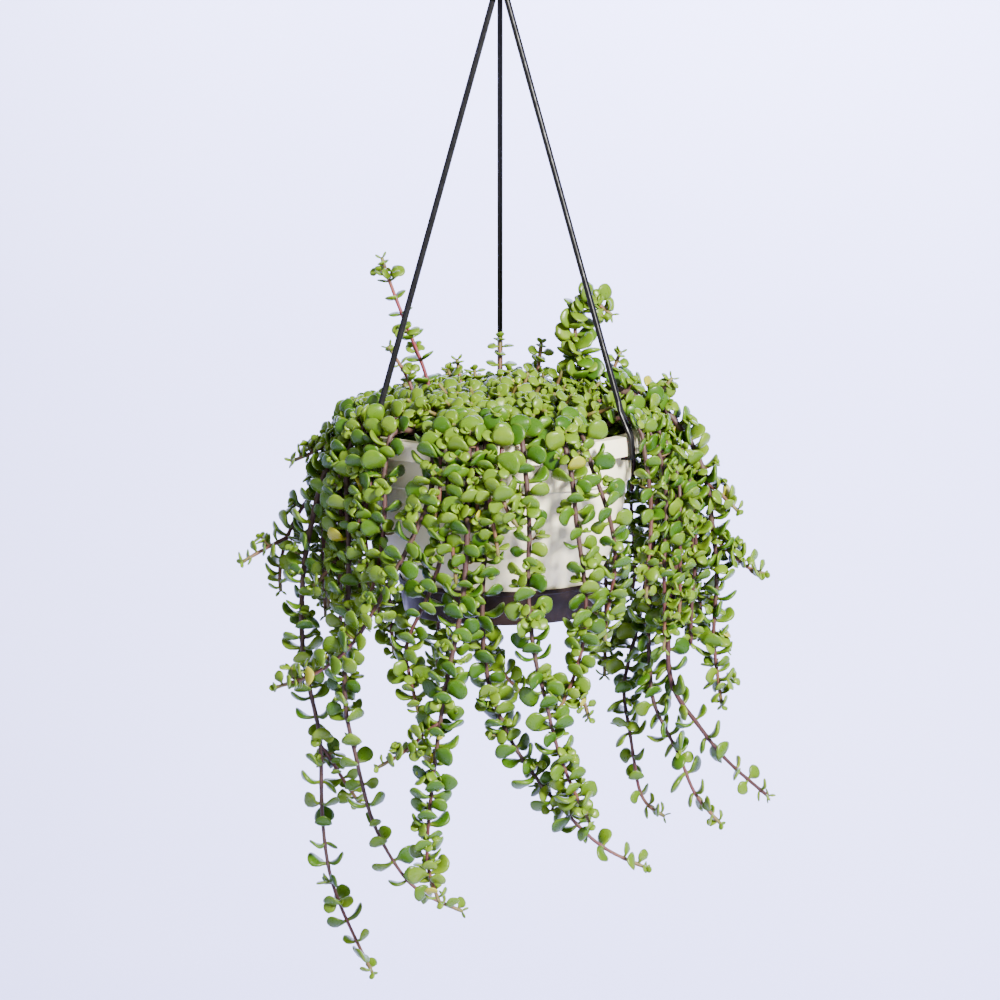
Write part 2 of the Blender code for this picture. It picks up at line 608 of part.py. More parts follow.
def make_pot():
    inner = [(60.4, POT_FLOOR_Z), (67.1, -102.5), (77.4, -80.0), (83.4, -58.0), (89.7, 0.0)]
    profile = [(0, POT_FOOT_Z), (62.6, POT_FOOT_Z), (69.3, -102.5), (79.6, -80.0), (85.6, -58.0),
               (WALL_TOP_R, -COLLAR_H - 0.5), (COLLAR_R - 0.7, -COLLAR_H), (COLLAR_R, -FLANGE),
               (RIM_R - 1.2, -FLANGE), (SKIRT_R - SKIRT_WALL, -SKIRT_H), (SKIRT_R, -SKIRT_H), (RIM_R, 0.0)]
    points, faces = turned(profile + inner[::-1] + [(0, POT_FLOOR_Z)])
    pot = add_solid("pot", points, faces, material("ivory_plastic", (0.80, 0.76, 0.66), 0.45))
    ribs = [stop_rib(azimuth - RIB_TURN, pot.data.materials[0]) for azimuth in ARM_AZIMUTHS.values()]
    apply_boolean(pot, ribs, "UNION", "EXACT")


def stop_rib(azimuth, made):
    """A small upright rib under the rim that keeps a hanger clip from sliding round."""
    corners = [(90.6, -1.0), (94.6, -1.0), (94.6, 1.0), (90.6, 1.0)]
    rings = [[polar(r, azimuth + side, z) for r, side in corners] for z in (-20.0, -1.0)]
    points, faces = swept(rings)
    return add_solid("rib", points, faces, made)


def make_saucer():
    profile = [(0, SAUCER_FOOT_Z), (SAUCER_FOOT_R, SAUCER_FOOT_Z), (SAUCER_TOP_R, SAUCER_TOP_Z),
               (SAUCER_TOP_R - 1.7, SAUCER_TOP_Z), (SAUCER_FOOT_R - 2.0, POT_FOOT_Z - FIT),
               (0, POT_FOOT_Z - FIT)]
    points, faces = turned(profile)
    add_solid("saucer", points, faces, material("brown_plastic", (0.05, 0.028, 0.022), 0.4))


def make_soil(stems):
    """The soil's block, with a plain hole for the foot of each stem."""
    profile = [(0, POT_FLOOR_Z + FIT), (60.4 - FIT, POT_FLOOR_Z + FIT), (67.1 - FIT, -102.5),
               (77.4 - FIT, -80.0), (83.4 - FIT, -58.0), (88.2 - FIT, SOIL_TOP), (0, SOIL_TOP)]
    points, faces = turned(profile)
    soil = add_solid("soil", points, faces, material("black_soil", (0.022, 0.017, 0.013), 0.95))
    holes = []
    for stem in stems:
        if stem.parent:
            continue
        p, t, u, v = stem.at(0)
        half = stem.width(0) * math.sqrt(0.5) + FIT
        rings = []
        for z in (SOIL_TOP - ROOT_DEPTH - FIT, SOIL_TOP + 4):
            centre = np.array((p[0], p[1], z))
            corners = ((1, 1), (-1, 1), (-1, -1), (1, -1))
            rings.append([centre + half * (a * u + b * v) for a, b in corners])
        points, faces = swept(rings)
        holes.append(add_solid("hole", points, faces, soil.data.materials[0]))
    apply_boolean(soil, holes, "DIFFERENCE", "EXACT")


def make_arm(name, azimuth):
    """One arm: a grooved rod, then a wider strap over the rim with a foot hooked in under it."""
    line = np.array(arm_line(azimuth))
    across = np.array(polar(1.0, azimuth + 90, 0.0))
    sizes = [(ROD_W, ROD_T)] * 2 + [(STRAP_W, STRAP_T)] * 5
    sizes[6] = (STRAP_W * 0.8, 1.8)
    rings = []
    for i, (width, thick) in enumerate(sizes):
        before = unit(line[i] - line[i - 1]) if i else unit(line[1] - line[0])
        after = unit(line[i + 1] - line[i]) if i + 1 < len(line) else before
        ahead = unit(before + after)
        face = np.cross(ahead, across)
        stretch = 1 / max(0.75, float(np.dot(before, ahead)))
        a, b = width / 2, thick / 2 * stretch
        groove = 0.55 * b
        section = [(-a, -b), (-a * 0.22, -b), (0, -groove), (a * 0.22, -b), (a, -b), (a, b), (a * 0.22, b),
                   (0, groove), (-a * 0.22, b), (-a, b)]
        rings.append([line[i] + across * x + face * y for x, y in section])
    points, faces = swept(rings)
    add_solid(name, points, faces, material(name + "_black", BLACK_PLASTIC, 0.35))


def make_hook():
    """The hub that holds the three arms, with the hook above it in one piece."""
    profile = [(0, HUB_Z), (HUB_R, HUB_Z), (HUB_R, HUB_Z + 0.6 * HUB_H), (0.5 * HUB_R, HUB_Z + HUB_H),
               (0, HUB_Z + HUB_H)]
    points, faces = turned(profile, 16)
    hub = add_solid("hanger_hook", points, faces, material("hanger_hook_black", BLACK_PLASTIC, 0.35))
    sockets = []
    for azimuth in ARM_AZIMUTHS.values():
        line = np.array(arm_line(azimuth))
        ahead = unit(line[0] - line[1])
        across = np.array(polar(1.0, azimuth + 90, 0.0))
        face = np.cross(ahead, across)
        a, b = ROD_W / 2 + FIT, ROD_T / 2 + FIT
        rings = []
        for reach in (-SOCKET_DEPTH, FIT):
            centre = line[0] + ahead * reach
            corners = ((-1, -1), (1, -1), (1, 1), (-1, 1))
            rings.append([centre + across * x * a + face * y * b for x, y in corners])
        points, faces = swept(rings)
        sockets.append(add_solid("socket", points, faces, hub.data.materials[0]))
    apply_boolean(hub, sockets, "DIFFERENCE", "EXACT")
    apply_boolean(hub, [hook_wire(hub.data.materials[0])], "UNION", "EXACT")


def hook_wire(made):
    """The round bar of the hook: up from the hub, over the seat and down to an open end."""
    line = [(0, 0, HUB_Z + HUB_H - 4), (0, 0, HUB_Z + HUB_H + 6)]
    bend = HOOK_BEND_R + HOOK_WIRE_R
    for degrees in range(220, -41, -26):
        angle = math.radians(degrees)
        line.append((bend * math.cos(angle), 0, RIM_DROP - HOOK_BEND_R + bend * math.sin(angle)))
    line = np.array(line)
    rings = []
    for i, p in enumerate(line):
        before = unit(p - line[i - 1]) if i else unit(line[1] - line[0])
        after = unit(line[i + 1] - p) if i + 1 < len(line) else before
        ahead = unit(before + after)
        side = np.array((0.0, 1.0, 0.0))
        face = np.cross(ahead, side)
        turns = [math.tau * k / HOOK_SIDES for k in range(HOOK_SIDES)]
        rings.append([p + HOOK_WIRE_R * (side * math.cos(a) - face * math.sin(a)) for a in turns])
    points, faces = swept(rings)
    return add_solid("hook_wire", points, faces, made)


def make_stem(stem, made):
    """The four-sided stem with its blades grown out of its sides, as one closed surface."""
    places = [(0.0, None), (3.0 if stem.parent else ROOT_DEPTH + 3.0, None)]
    for s, _, sides in stem.nodes:
        height = NODE_H * min(1.0, 0.5 + 0.5 * stem.width(s) / 1.6)
        places += [(s - height / 2, sides if any(sides) else None), (s + height / 2, None)]
    places.append((stem.length + 1.0, None))
    places = with_bends(stem, places)
    points, faces, rings = [], [], []
    for s, _ in places:
        p, t, u, v = stem.at(min(s, stem.length))
        p = p + t * max(0.0, s - stem.length)
        size = stem.width(min(s, stem.length)) * (0.7 if s > stem.length else 1.0)
        rings.append(len(points))
        for k in range(4):
            angle = math.radians(45 + 90 * k)
            points.append(p + size * (u * math.cos(angle) + v * math.sin(angle)))
    pair = 0
    parities = [parity for _, parity, sides in stem.nodes if any(sides)]
    for i in range(len(places) - 1):
        low, high = rings[i], rings[i + 1]
        grown = {}
        if places[i][1] is not None:
            parity = parities[pair]
            pair += 1
            grown = {parity + 2 * j: leaf for j, leaf in enumerate(places[i][1]) if leaf is not None}
        for k in range(4):
            q0, q1, p1, p0 = low + k, low + (k + 1) % 4, high + (k + 1) % 4, high + k
            if k in grown:
                add_blade(points, faces, grown[k], q0, q1, p1, p0)
            else:
                faces.append((q0, q1, p1, p0))
    faces.append((3, 2, 1, 0))
    last = rings[-1]
    faces.append((last, last + 1, last + 2, last + 3))
    return add_solid(stem.name, points, faces, made)


def with_bends(stem, places):
    """The stem's rings with more of them where its straight runs would cut a bend short."""
    done = [places[0], places[1]]
    for low, high in zip(places[1:-1], places[2:]):
        a, b = stem.at(low[0])[0], stem.at(high[0])[0]
        between = np.linspace(low[0], high[0], 9)[1:-1]
        chord = unit(b - a)
        off = []
        for s in between:
            arm = stem.at(s)[0] - a
            off.append(np.linalg.norm(arm - np.dot(arm, chord) * chord))
        worst = int(np.argmax(off))
        if high[0] - low[0] > 6.0 and off[worst] > MOST_CUT:
            done.append((between[worst], None))
        done.append(high)
    return done


def add_blade(points, faces, leaf, q0, q1, p1, p0):
    """Grows a blade out of one side of the stem, in place of that side's face."""
    a = len(points)
    points.extend(leaf.rim())
    b, c, d, e, f, top = a + 1, a + 2, a + 3, a + 4, a + 5, a + 6
    points.append(leaf.crown())
    faces.extend([(q0, q1, f), (q0, f, a), (a, f, e), (a, e, b), (b, e, d), (b, d, c)])
    faces.extend([(a, b, top), (b, c, top), (c, d, top), (d, e, top), (e, f, top)])
    faces.extend([(p1, p0, top), (p0, a, top), (f, p1, top), (p0, q0, a), (q1, p1, f)])


def grow():
    """All stems of the plant, bent clear of one another and with their leaves placed."""
    stems = [Stem(name, rooted_route(r, az, route), half, leaf)
             for name, (r, az, half, leaf, route) in TRAILING.items()]
    stems += [Stem(name, rooted_route(r, az, route), half, leaf, crown=True)
              for name, (r, az, half, leaf, route) in TALL.items()]
    stems += [Stem("crown_shoot_%02d" % (i + 1), crown_route(i), 1.8, CROWN_LEAF, crown=True)
              for i in range(CROWN_SHOOTS)]
    named = {stem.name: stem for stem in stems}
    stems += [Stem(parent, smooth_route(route), half, leaf, parent=named[parent])
              for parent, half, leaf, route in BRANCHES]
    bend_clear(stems)
    for stem in stems:
        stem.measure()
    place_leaves(stems)
    return stems


def make_plant(stems):
    """Every leafy stem, joined with the side branches that grow from it."""
    for stem in stems:
        if stem.parent:
            continue
        green = material(stem.name + "_green", (0.20, 0.36, 0.07), 0.4)
        solid = make_stem(stem, green)
        branches = [make_stem(branch, green) for branch in stems if branch.parent is stem]
        if branches:
            apply_boolean(solid, branches, "UNION", "MANIFOLD")


def main():
    for old in list(bpy.data.objects):
        bpy.data.objects.remove(old)
    stems = grow()
    make_pot()
    make_saucer()
    make_soil(stems)
    make_hook()
    for name, azimuth in ARM_AZIMUTHS.items():
        make_arm(name, azimuth)
    make_plant(stems)


main()
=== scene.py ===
"""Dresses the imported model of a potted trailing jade: the fleshy leaves, the stems, the pot and its hanger.

Tables are in millimetres from the centre of the pot's rim, with -Y towards the viewer, as in the part's
source, so that the plant's rules give the same stems and leaves here. Pieces are built in metres.
"""

import json
import math
import random

import bpy
import numpy as np
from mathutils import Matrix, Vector
from mathutils.bvhtree import BVHTree

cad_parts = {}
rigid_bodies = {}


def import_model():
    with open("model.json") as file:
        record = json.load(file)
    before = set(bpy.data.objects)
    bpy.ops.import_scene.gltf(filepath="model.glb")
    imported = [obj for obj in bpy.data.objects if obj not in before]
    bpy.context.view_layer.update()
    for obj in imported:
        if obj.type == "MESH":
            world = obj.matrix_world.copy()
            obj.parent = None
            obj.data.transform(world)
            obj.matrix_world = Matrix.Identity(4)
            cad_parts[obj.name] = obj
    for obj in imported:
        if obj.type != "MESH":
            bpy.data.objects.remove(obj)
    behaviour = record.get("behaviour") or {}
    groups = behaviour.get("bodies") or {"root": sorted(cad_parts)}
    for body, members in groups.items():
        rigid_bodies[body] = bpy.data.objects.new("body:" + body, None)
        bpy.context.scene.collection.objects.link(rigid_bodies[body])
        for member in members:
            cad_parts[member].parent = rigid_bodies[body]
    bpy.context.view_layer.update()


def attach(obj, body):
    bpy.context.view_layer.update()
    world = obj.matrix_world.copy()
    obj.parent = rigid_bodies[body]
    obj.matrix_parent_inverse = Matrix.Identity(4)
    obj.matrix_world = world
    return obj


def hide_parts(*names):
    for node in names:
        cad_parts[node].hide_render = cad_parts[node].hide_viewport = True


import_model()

MM = 0.001
SEED = 20
# Each kind of thing draws at random on its own, from SEED times its number here
SEEDS = {"soil": 5, "model": 1000, "between": 2000, "side sprig": 3000, "crown sprig": 4000, "sprout": 4500,
         "stem": 6000, "sector": 7000, "strand": 8000, "strand leaf": 8500}

# Pot, saucer and soil
RIM_DROP = 356.0
RIM_R = 100.0
SKIRT_R = 101.5
SKIRT_H = 13.0
SKIRT_WALL = 1.6
FLANGE = 2.0
COLLAR_R = 91.9
COLLAR_H = 33.5
WALL_TOP_R = 88.7
POT_FOOT_Z = -124.4
POT_FLOOR_Z = -122.0
SAUCER_TOP_R = 71.5
SAUCER_TOP_Z = -103.2
SAUCER_FOOT_R = 67.0
SAUCER_FOOT_Z = -127.3
SOIL_TOP = -12.0
SOIL_R = 88.2
POT_INNER = [(60.4, POT_FLOOR_Z), (67.1, -102.5), (77.4, -80.0), (83.4, -58.0), (89.7, 0.0)]
RIB_TURN = 5.0
FIT = 0.35

# Hanger
ARM_AZIMUTHS = {"hanger_arm_back": 90.0, "hanger_arm_left": 210.0, "hanger_arm_right": 330.0}
HUB_Z = 296.0
HUB_R = 11.0
HUB_H = 15.0
ARM_TOP = (3.6, 301.0)
ROD_W, ROD_T = 3.8, 3.2
STRAP_W, STRAP_T = 5.4, 2.4
HOOK_WIRE_R = 2.6
HOOK_BEND_R = 13.0

# Leafy stems
ROOT_DEPTH = 13.0
STEP = 5.0
# How stems are bent clear of one another and of the arms: the room, the shares of the push, of the pull that
# keeps a line smooth and of the pull home in each round, and the most that a push moves a point
CLEAR, ARM_CLEAR = 9.0, 8.0
STEM_PUSH, ARM_PUSH, SMOOTHING, HOMING = 0.35, 0.3, 0.3, 0.04
MOST_PUSH = 1.5
LEAF_T = 2.2
CUP = 0.018
MOST_BEND = math.radians(62)
LEAF_GAP = 0.6
STEM_GAP = 1.8
TRAILING_GAP = 29.5
CROWN_GAP = 17.0
TIP_CLOSER = 0.72

# Each trailing stem by its number: root radius and azimuth, half width at the root, leaf length and route
TRAILING = {
    1: (72, 172, 2.6, 15, [(-109, -20, -10), (-120, -20, -23), (-130, -21, -61), (-135, -21, -84),
        (-138, -22, -120), (-137, -22, -160), (-131, -22, -188), (-125, -22, -217), (-125, -23, -265),
        (-119, -23, -317), (-101, -24, -361), (-90, -24, -384)]),
    2: (70, 200, 2.5, 15, [(-103, -45, -5), (-105, -50, -29), (-103, -54, -84), (-106, -54, -140),
        (-107, -53, -187), (-101, -53, -214), (-95, -53, -242), (-87, -52, -272), (-67, -52, -308),
        (-54, -52, -320), (-26, -51, -332)]),
    3: (74, 258, 2.6, 15, [(-21, -105, -4), (-21, -107, -22), (-22, -108, -62), (-24, -109, -95),
        (-31, -110, -136), (-36, -110, -156), (-40, -110, -184), (-45, -108, -223), (-50, -105, -274),
        (-49, -104, -291), (-41, -102, -312)]),
    4: (60, 243, 2.4, 15, [(-45, -98, -3), (-44, -99, -13), (-45, -100, -31), (-51, -101, -46),
        (-65, -102, -75), (-82, -101, -106), (-97, -98, -133), (-108, -96, -144), (-124, -93, -156),
        (-152, -88, -166)]),
    5: (76, 249, 2.3, 14, [(-33, -103, -2), (-35, -104, -22), (-34, -104, -42), (-36, -103, -63),
        (-46, -99, -97), (-54, -96, -114), (-66, -93, -138), (-62, -92, -154), (-55, -92, -183)]),
    6: (64, 264, 2.5, 15, [(-9, -104, -2), (-9, -104, -29), (-9, -102, -56), (-12, -99, -97),
        (-11, -97, -143), (-6, -95, -169), (6, -93, -200), (18, -92, -219), (33, -91, -239),
        (49, -90, -257), (70, -88, -278), (100, -85, -292)]),
    7: (78, 270, 2.0, 16, [(2, -108, 1), (-1, -114, -14), (-1, -118, -30), (4, -120, -42),
        (12, -120, -51)]),
    8: (66, 277, 2.3, 15, [(15, -107, -1), (17, -109, -16), (19, -110, -38), (20, -110, -61),
        (18, -110, -83), (19, -111, -105), (24, -112, -147), (30, -113, -166), (38, -114, -202),
        (50, -112, -233), (61, -108, -256)]),
    9: (70, 292, 2.3, 15, [(43, -99, -2), (48, -101, -17), (51, -102, -53), (56, -102, -83),
        (58, -101, -107), (57, -101, -129), (54, -102, -144), (44, -105, -171), (38, -106, -180)]),
    10: (60, 301, 2.2, 15, [(58, -92, -7), (62, -94, -17), (73, -92, -46), (78, -90, -71), (77, -89, -94),
        (70, -88, -121), (71, -88, -134)]),
    11: (72, 225, 2.3, 15, [(-75, -77, -3), (-79, -80, -22), (-77, -82, -45), (-80, -82, -73),
        (-85, -81, -97), (-92, -80, -115)]),
    12: (62, 216, 2.2, 14, [(-89, -66, -5), (-92, -68, -27), (-92, -69, -54), (-90, -68, -82),
        (-90, -67, -104)]),
    13: (58, 190, 2.2, 14, [(-104, -34, -7), (-110, -36, -21), (-108, -38, -45), (-106, -39, -78),
        (-113, -39, -90), (-129, -38, -105)]),
    14: (70, 150, 2.2, 14, [(-104, 40, -9), (-114, 36, -27), (-124, 33, -55), (-126, 32, -87),
        (-127, 31, -128)]),
    15: (48, 180, 2.2, 13, [(-104, -3, -2), (-113, -2, -6), (-120, 0, -12), (-130, 2, -18),
        (-146, 4, -24)]),
    16: (66, 162, 2.5, 14, [(-108, 12, -10), (-119, 12, -31), (-129, 12, -44), (-142, 10, -61),
        (-149, 8, -75), (-154, 6, -91), (-156, 5, -104), (-154, 5, -116)]),
    17: (42, 355, 3.6, 15, [(78, -3, 27), (86, -4, 31), (94, -6, 28), (101, -8, 15), (107, -10, 4),
        (112, -11, -10), (113, -12, -26), (124, -12, -59), (125, -12, -77), (121, -12, -108),
        (117, -12, -148), (120, -12, -183), (137, -12, -205), (157, -12, -232), (189, -10, -260)]),
    18: (50, 20, 3.0, 15, [(88, 18, 28), (99, 15, 27), (108, 12, 19), (118, 10, 10), (127, 9, -2),
        (136, 8, -13), (141, 8, -26), (146, 8, -40), (149, 8, -73), (153, 10, -95), (152, 10, -123),
        (150, 10, -145), (152, 10, -166), (157, 10, -199)]),
    19: (74, 12, 2.5, 15, [(105, 32, -11), (112, 30, -34), (111, 25, -58), (108, 18, -82), (106, 12, -109),
        (104, 6, -145), (106, 4, -172), (106, 2, -193), (114, 0, -209), (129, 0, -237), (136, 0, -260),
        (156, 0, -282)]),
    20: (76, 36, 2.4, 15, [(94, 60, -10), (106, 60, -38), (108, 54, -73), (106, 48, -101), (102, 42, -129),
        (96, 37, -157), (87, 32, -190), (91, 31, -212), (96, 30, -243), (101, 30, -275), (118, 30, -284)]),
    21: (64, 54, 2.3, 14, [(66, 86, -12), (72, 80, -62), (76, 68, -104), (76, 56, -139), (75, 47, -185)]),
    22: (72, 114, 2.3, 14, [(-43, 97, -12), (-46, 98, -65), (-46, 96, -109), (-45, 94, -153),
        (-46, 92, -205)]),
    23: (62, 101, 2.3, 14, [(-20, 106, -13), (-20, 107, -66), (-20, 104, -110), (-19, 100, -154),
        (-2, 90, -187), (21, 83, -210)]),
    24: (74, 78, 2.2, 14, [(18, 106, -13), (19, 108, -66), (19, 108, -111), (21, 104, -160)]),
    25: (64, 132, 2.3, 14, [(-71, 80, -11), (-78, 84, -48), (-81, 86, -92), (-80, 83, -145),
        (-77, 80, -176)]),
    26: (78, 136, 2.3, 14, [(-96, 56, -8), (-106, 56, -36), (-111, 54, -73), (-107, 54, -115),
        (-105, 52, -150)]),
    27: (66, 66, 2.2, 14, [(45, 95, -12), (56, 97, -65), (63, 94, -108), (62, 88, -172)]),
    28: (60, 26, 2.3, 14, [(100, 46, -9), (118, 50, -25), (124, 47, -57), (125, 43, -93), (120, 37, -146)]),
    29: (64, 3, 2.3, 14, [(106, 12, -5), (122, 26, -22), (132, 29, -55), (136, 29, -90), (142, 30, -126),
        (144, 30, -153)]),
}
# Side branches: the stem they grow from, half width, leaf length, and their route
BRANCHES = [
    ("trailing_stem_01", 1.1, 12, [(-124, -24, -218), (-119, -20, -229), (-112, -15, -244),
        (-99, -6, -266)]),
    ("trailing_stem_03", 1.0, 12, [(-40, -110, -185), (-51, -109, -192), (-61, -108, -205),
        (-82, -106, -217)]),
    ("trailing_stem_09", 1.1, 11, [(51, -103, -158), (57, -100, -171), (60, -98, -185)]),
    ("trailing_stem_16", 1.2, 12, [(-151, 6, -79), (-160, 4, -84), (-169, 1, -87), (-180, -2, -94)]),
    ("trailing_stem_17", 1.6, 14, [(112, -11, -12), (120, -7, -26), (129, -4, -36), (136, -2, -60),
        (137, -3, -94), (134, -3, -122), (134, -3, -152)]),
    ("trailing_stem_18", 1.3, 13, [(146, 8, -40), (152, 4, -45), (159, 1, -50), (166, -2, -58)]),
    ("trailing_stem_18", 1.4, 14, [(150, 8, -77), (159, 14, -87), (168, 17, -97), (176, 19, -105),
        (187, 20, -106)]),
]
# Shoots of the crown: root radius and azimuth, half width, leaf length, and their route
TALL = {
    "tall_shoot_left": (44, 166, 1.7, 12, [(-48, 10, 22), (-51, 10, 37), (-56, 10, 49), (-64, 10, 68),
        (-76, 10, 99), (-82, 10, 118)]),
    "tall_shoot_short": (56, 195, 1.5, 12, [(-58, -10, 20), (-61, -8, 33), (-66, -8, 41),
        (-77, -11, 58)]),
    "tall_shoot_right": (50, 8, 1.6, 15, [(56, 12, 20), (58, 12, 31), (53, 12, 52), (51, 12, 72),
        (54, 12, 87), (62, 9, 93), (78, 6, 78)]),
}
CROWN_SHOOTS = 12
CROWN_INNER = (16.0, 26.0, 50.0, 27.0)
CROWN_OUTER = (40.0, 19.0, 84.0, 21.0)
CROWN_LEAF = 12.0


def unit(vector):
    return vector / max(np.linalg.norm(vector), 1e-9)


def seeded(kind, number=0):
    return random.Random(SEED * SEEDS[kind] + number)


def swayed(rng, reach, z):
    """A vector that leans a random way by so much at most, with a set height."""
    return np.array((rng.uniform(-reach, reach), rng.uniform(-reach, reach), z))


def lengths_along(line):
    """How far along the line each of its points is."""
    return np.concatenate([[0], np.cumsum(np.linalg.norm(np.diff(line, axis=0), axis=1))])


def share_of(x):
    return min(1.0, max(0.0, x))


def polar(radius, azimuth, z):
    angle = math.radians(azimuth)
    return (radius * math.cos(angle), radius * math.sin(angle), z)


# Routes of the stems

def smooth_route(points):
    """Points about STEP apart along a smooth curve through the given ones."""
    p = np.array(points, float)
    p = np.vstack([2 * p[0] - p[1], p, 2 * p[-1] - p[-2]])
    fine = []
    for i in range(1, len(p) - 2):
        a, b, c, d = p[i - 1:i + 3]
        for k in range(12):
            x = k / 12
            fine.append(0.5 * (2 * b + (c - a) * x + (2 * a - 5 * b + 4 * c - d) * x ** 2
                               + (3 * b - a - 3 * c + d) * x ** 3))
    fine.append(p[-2])
    fine = np.array(fine)
    along = lengths_along(fine)
    count = max(5, int(round(along[-1] / STEP)) + 1)
    even = np.linspace(0, along[-1], count)
    return np.column_stack([np.interp(even, along, fine[:, i]) for i in range(3)])


def rooted_route(radius, azimuth, rest):
    """A route that leaves the soil upright and, for a trailing stem, arches over the rim."""
    points = [polar(radius, azimuth, SOIL_TOP - ROOT_DEPTH), polar(radius, azimuth, SOIL_TOP + 3)]
    x, y, _ = rest[0]
    reach = math.hypot(x, y)
    if reach < RIM_R:
        points.append(polar(radius + 3, azimuth, SOIL_TOP + 14))
    if reach > RIM_R:
        ahead = math.degrees(math.atan2(y, x))
        turn = (ahead - azimuth + 180) % 360 - 180
        points.append(polar(radius + 0.45 * (92 - radius), azimuth + 0.4 * turn, 6.0))
        points.append(polar(97.0, azimuth + 0.9 * turn, 8.5))
    return smooth_route(points + list(rest))


def crown_route(number):
    root_r, rise, end_r, end_z = CROWN_OUTER if number % 2 else CROWN_INNER
    azimuth = 360.0 * number / CROWN_SHOOTS + 8.0
    return smooth_route([
        polar(root_r, azimuth, SOIL_TOP - ROOT_DEPTH), polar(root_r, azimuth, SOIL_TOP + 3),
        polar(root_r + 0.15 * (end_r - root_r), azimuth + 4, 0.75 * rise),
        polar(root_r + 0.5 * (end_r - root_r), azimuth + 8, rise + 2), polar(end_r, azimuth + 14, end_z)])


class Stem:
    """One leafy stem or side branch: its centre line, its frame along it and its leaves."""

    def __init__(self, name, line, half, leaf, parent=None, crown=False):
        self.name = name
        self.line = line
        self.half = half
        self.leaf = leaf
        self.parent = parent
        self.crown = crown
        self.nodes = []

    def measure(self):
        self.along = lengths_along(self.line)
        self.length = self.along[-1]
        tangent = np.gradient(self.line, axis=0)
        self.tangent = tangent / np.linalg.norm(tangent, axis=1)[:, None]
        out = unit(self.line[0] * (1, 1, 0))
        if self.parent:
            out = unit(np.cross(self.tangent[0], (0, 0, 1)))
        across = []
        for t in self.tangent:
            out = unit(out - np.dot(out, t) * t)
            across.append(out)
        self.across = np.array(across)

    def at(self, s):
        """Point, tangent and the two directions across the stem at a length along it."""
        p = np.array([np.interp(s, self.along, self.line[:, i]) for i in range(3)])
        t = unit(np.array([np.interp(s, self.along, self.tangent[:, i]) for i in range(3)]))
        u = np.array([np.interp(s, self.along, self.across[:, i]) for i in range(3)])
        u = unit(u - np.dot(u, t) * t)
        v = np.cross(t, u)
        turn = 0.0 if s < ROOT_DEPTH + 4 else 0.35 * math.sin(s / 47.0 + self.half * 9)
        return p, t, u * math.cos(turn) + v * math.sin(turn), v * math.cos(turn) - u * math.sin(turn)

    def toward_tip(self, s, least, more, over):
        """A factor that gets smaller over the last part of the stem."""
        return least + more * min(1.0, (self.length - s) / over)

    def width(self, s):
        """Half the diagonal of the stem at a length along it."""
        x = s / self.length
        return self.half * (1 - x) ** 0.7 + 0.95 * x


def outer_radius(z):
    """Outside radius of the pot and saucer at each height."""
    heights = [SAUCER_FOOT_Z, SAUCER_TOP_Z, -80.0, -58.0, -COLLAR_H, -SKIRT_H - 0.1, -SKIRT_H, 0.0]
    radii = [SAUCER_FOOT_R, SAUCER_TOP_R, 79.6, 85.6, COLLAR_R, COLLAR_R, SKIRT_R, SKIRT_R]
    return np.where(z > SAUCER_FOOT_Z, np.interp(z, heights, radii), 0.0)


def arm_line(azimuth):
    """Points of one hanger arm's centre line, from the hub to the foot under the rim."""
    return [polar(r, azimuth, z) for r, z in (
        ARM_TOP, (93.0, 24.0), (95.0, 17.0), (103.2, 0.0), (104.0, -12.0), (103.6, -14.4), (96.5, -14.7))]


def pushed_apart(points, others, reach, apart=None):
    """How far each point is pushed by the others nearer to it than the reach."""
    squares = (points ** 2).sum(axis=1)[:, None] + (others ** 2).sum(axis=1)[None] - 2 * points @ others.T
    i, j = np.nonzero(squares < (reach + 0.1) ** 2)
    gap = points[i] - others[j]
    far = np.linalg.norm(gap, axis=1) + 1e-6
    share = np.where(far < reach, (reach - far) / far, 0.0)
    if apart is not None:
        share[~apart[i, j]] = 0.0
    return np.column_stack([np.bincount(i, share * gap[:, k], len(points)) for k in range(3)])


def bend_clear(stems, settled=(), clear=CLEAR, rounds=60):
    """Moves centre lines apart where they come too close to one another, to settled ones or to the pot,
    and measures them."""
    owner = np.concatenate([np.full(len(stem.line), i) for i, stem in enumerate(stems)])
    place = np.concatenate([np.arange(len(stem.line)) for stem in stems])
    home = np.vstack([stem.line for stem in stems])
    starts = np.concatenate([[0], np.cumsum([len(stem.line) for stem in stems])])
    parent = np.array([-1 if stem.parent is None else stems.index(stem.parent) for stem in stems])
    fixed = (place < 4) & (parent[owner] < 0)
    young = (parent[owner] >= 0) & (place < 4)
    kin = (parent[owner][:, None] == owner[None]) & young[:, None]
    apart = (owner[:, None] != owner[None]) & ~(kin | kin.T)
    arms = np.vstack([smooth_route(arm_line(azimuth)) for azimuth in ARM_AZIMUTHS.values()])
    still = np.vstack([stem.line for stem in settled]) if settled else None
    inner = np.ones(len(home), bool)
    inner[starts[:-1]] = False
    inner[starts[1:] - 1] = False
    middle = np.flatnonzero(inner)
    p = home.copy()
    for _ in range(rounds):
        push = pushed_apart(p, p, clear, apart) * STEM_PUSH
        push += pushed_apart(p, arms, ARM_CLEAR) * ARM_PUSH
        if settled:
            push += pushed_apart(p, still, clear) * STEM_PUSH
        pull = np.zeros_like(p)
        pull[inner] = 0.5 * (p[middle - 1] + p[middle + 1]) - p[inner]
        step = np.clip(push, -MOST_PUSH, MOST_PUSH) + SMOOTHING * pull + HOMING * (home - p)
        p = np.where(fixed[:, None], p, p + step)
        p = np.array([q if f else off_the_pot(q) for q, f in zip(p, fixed)])
        for i in np.flatnonzero(parent >= 0):
            line = p[starts[parent[i]]:starts[parent[i] + 1]]
            p[starts[i]] = line[np.argmin(np.linalg.norm(line - home[starts[i]], axis=1))]
    for i, stem in enumerate(stems):
        stem.line = p[starts[i]:starts[i + 1]]
        stem.measure()


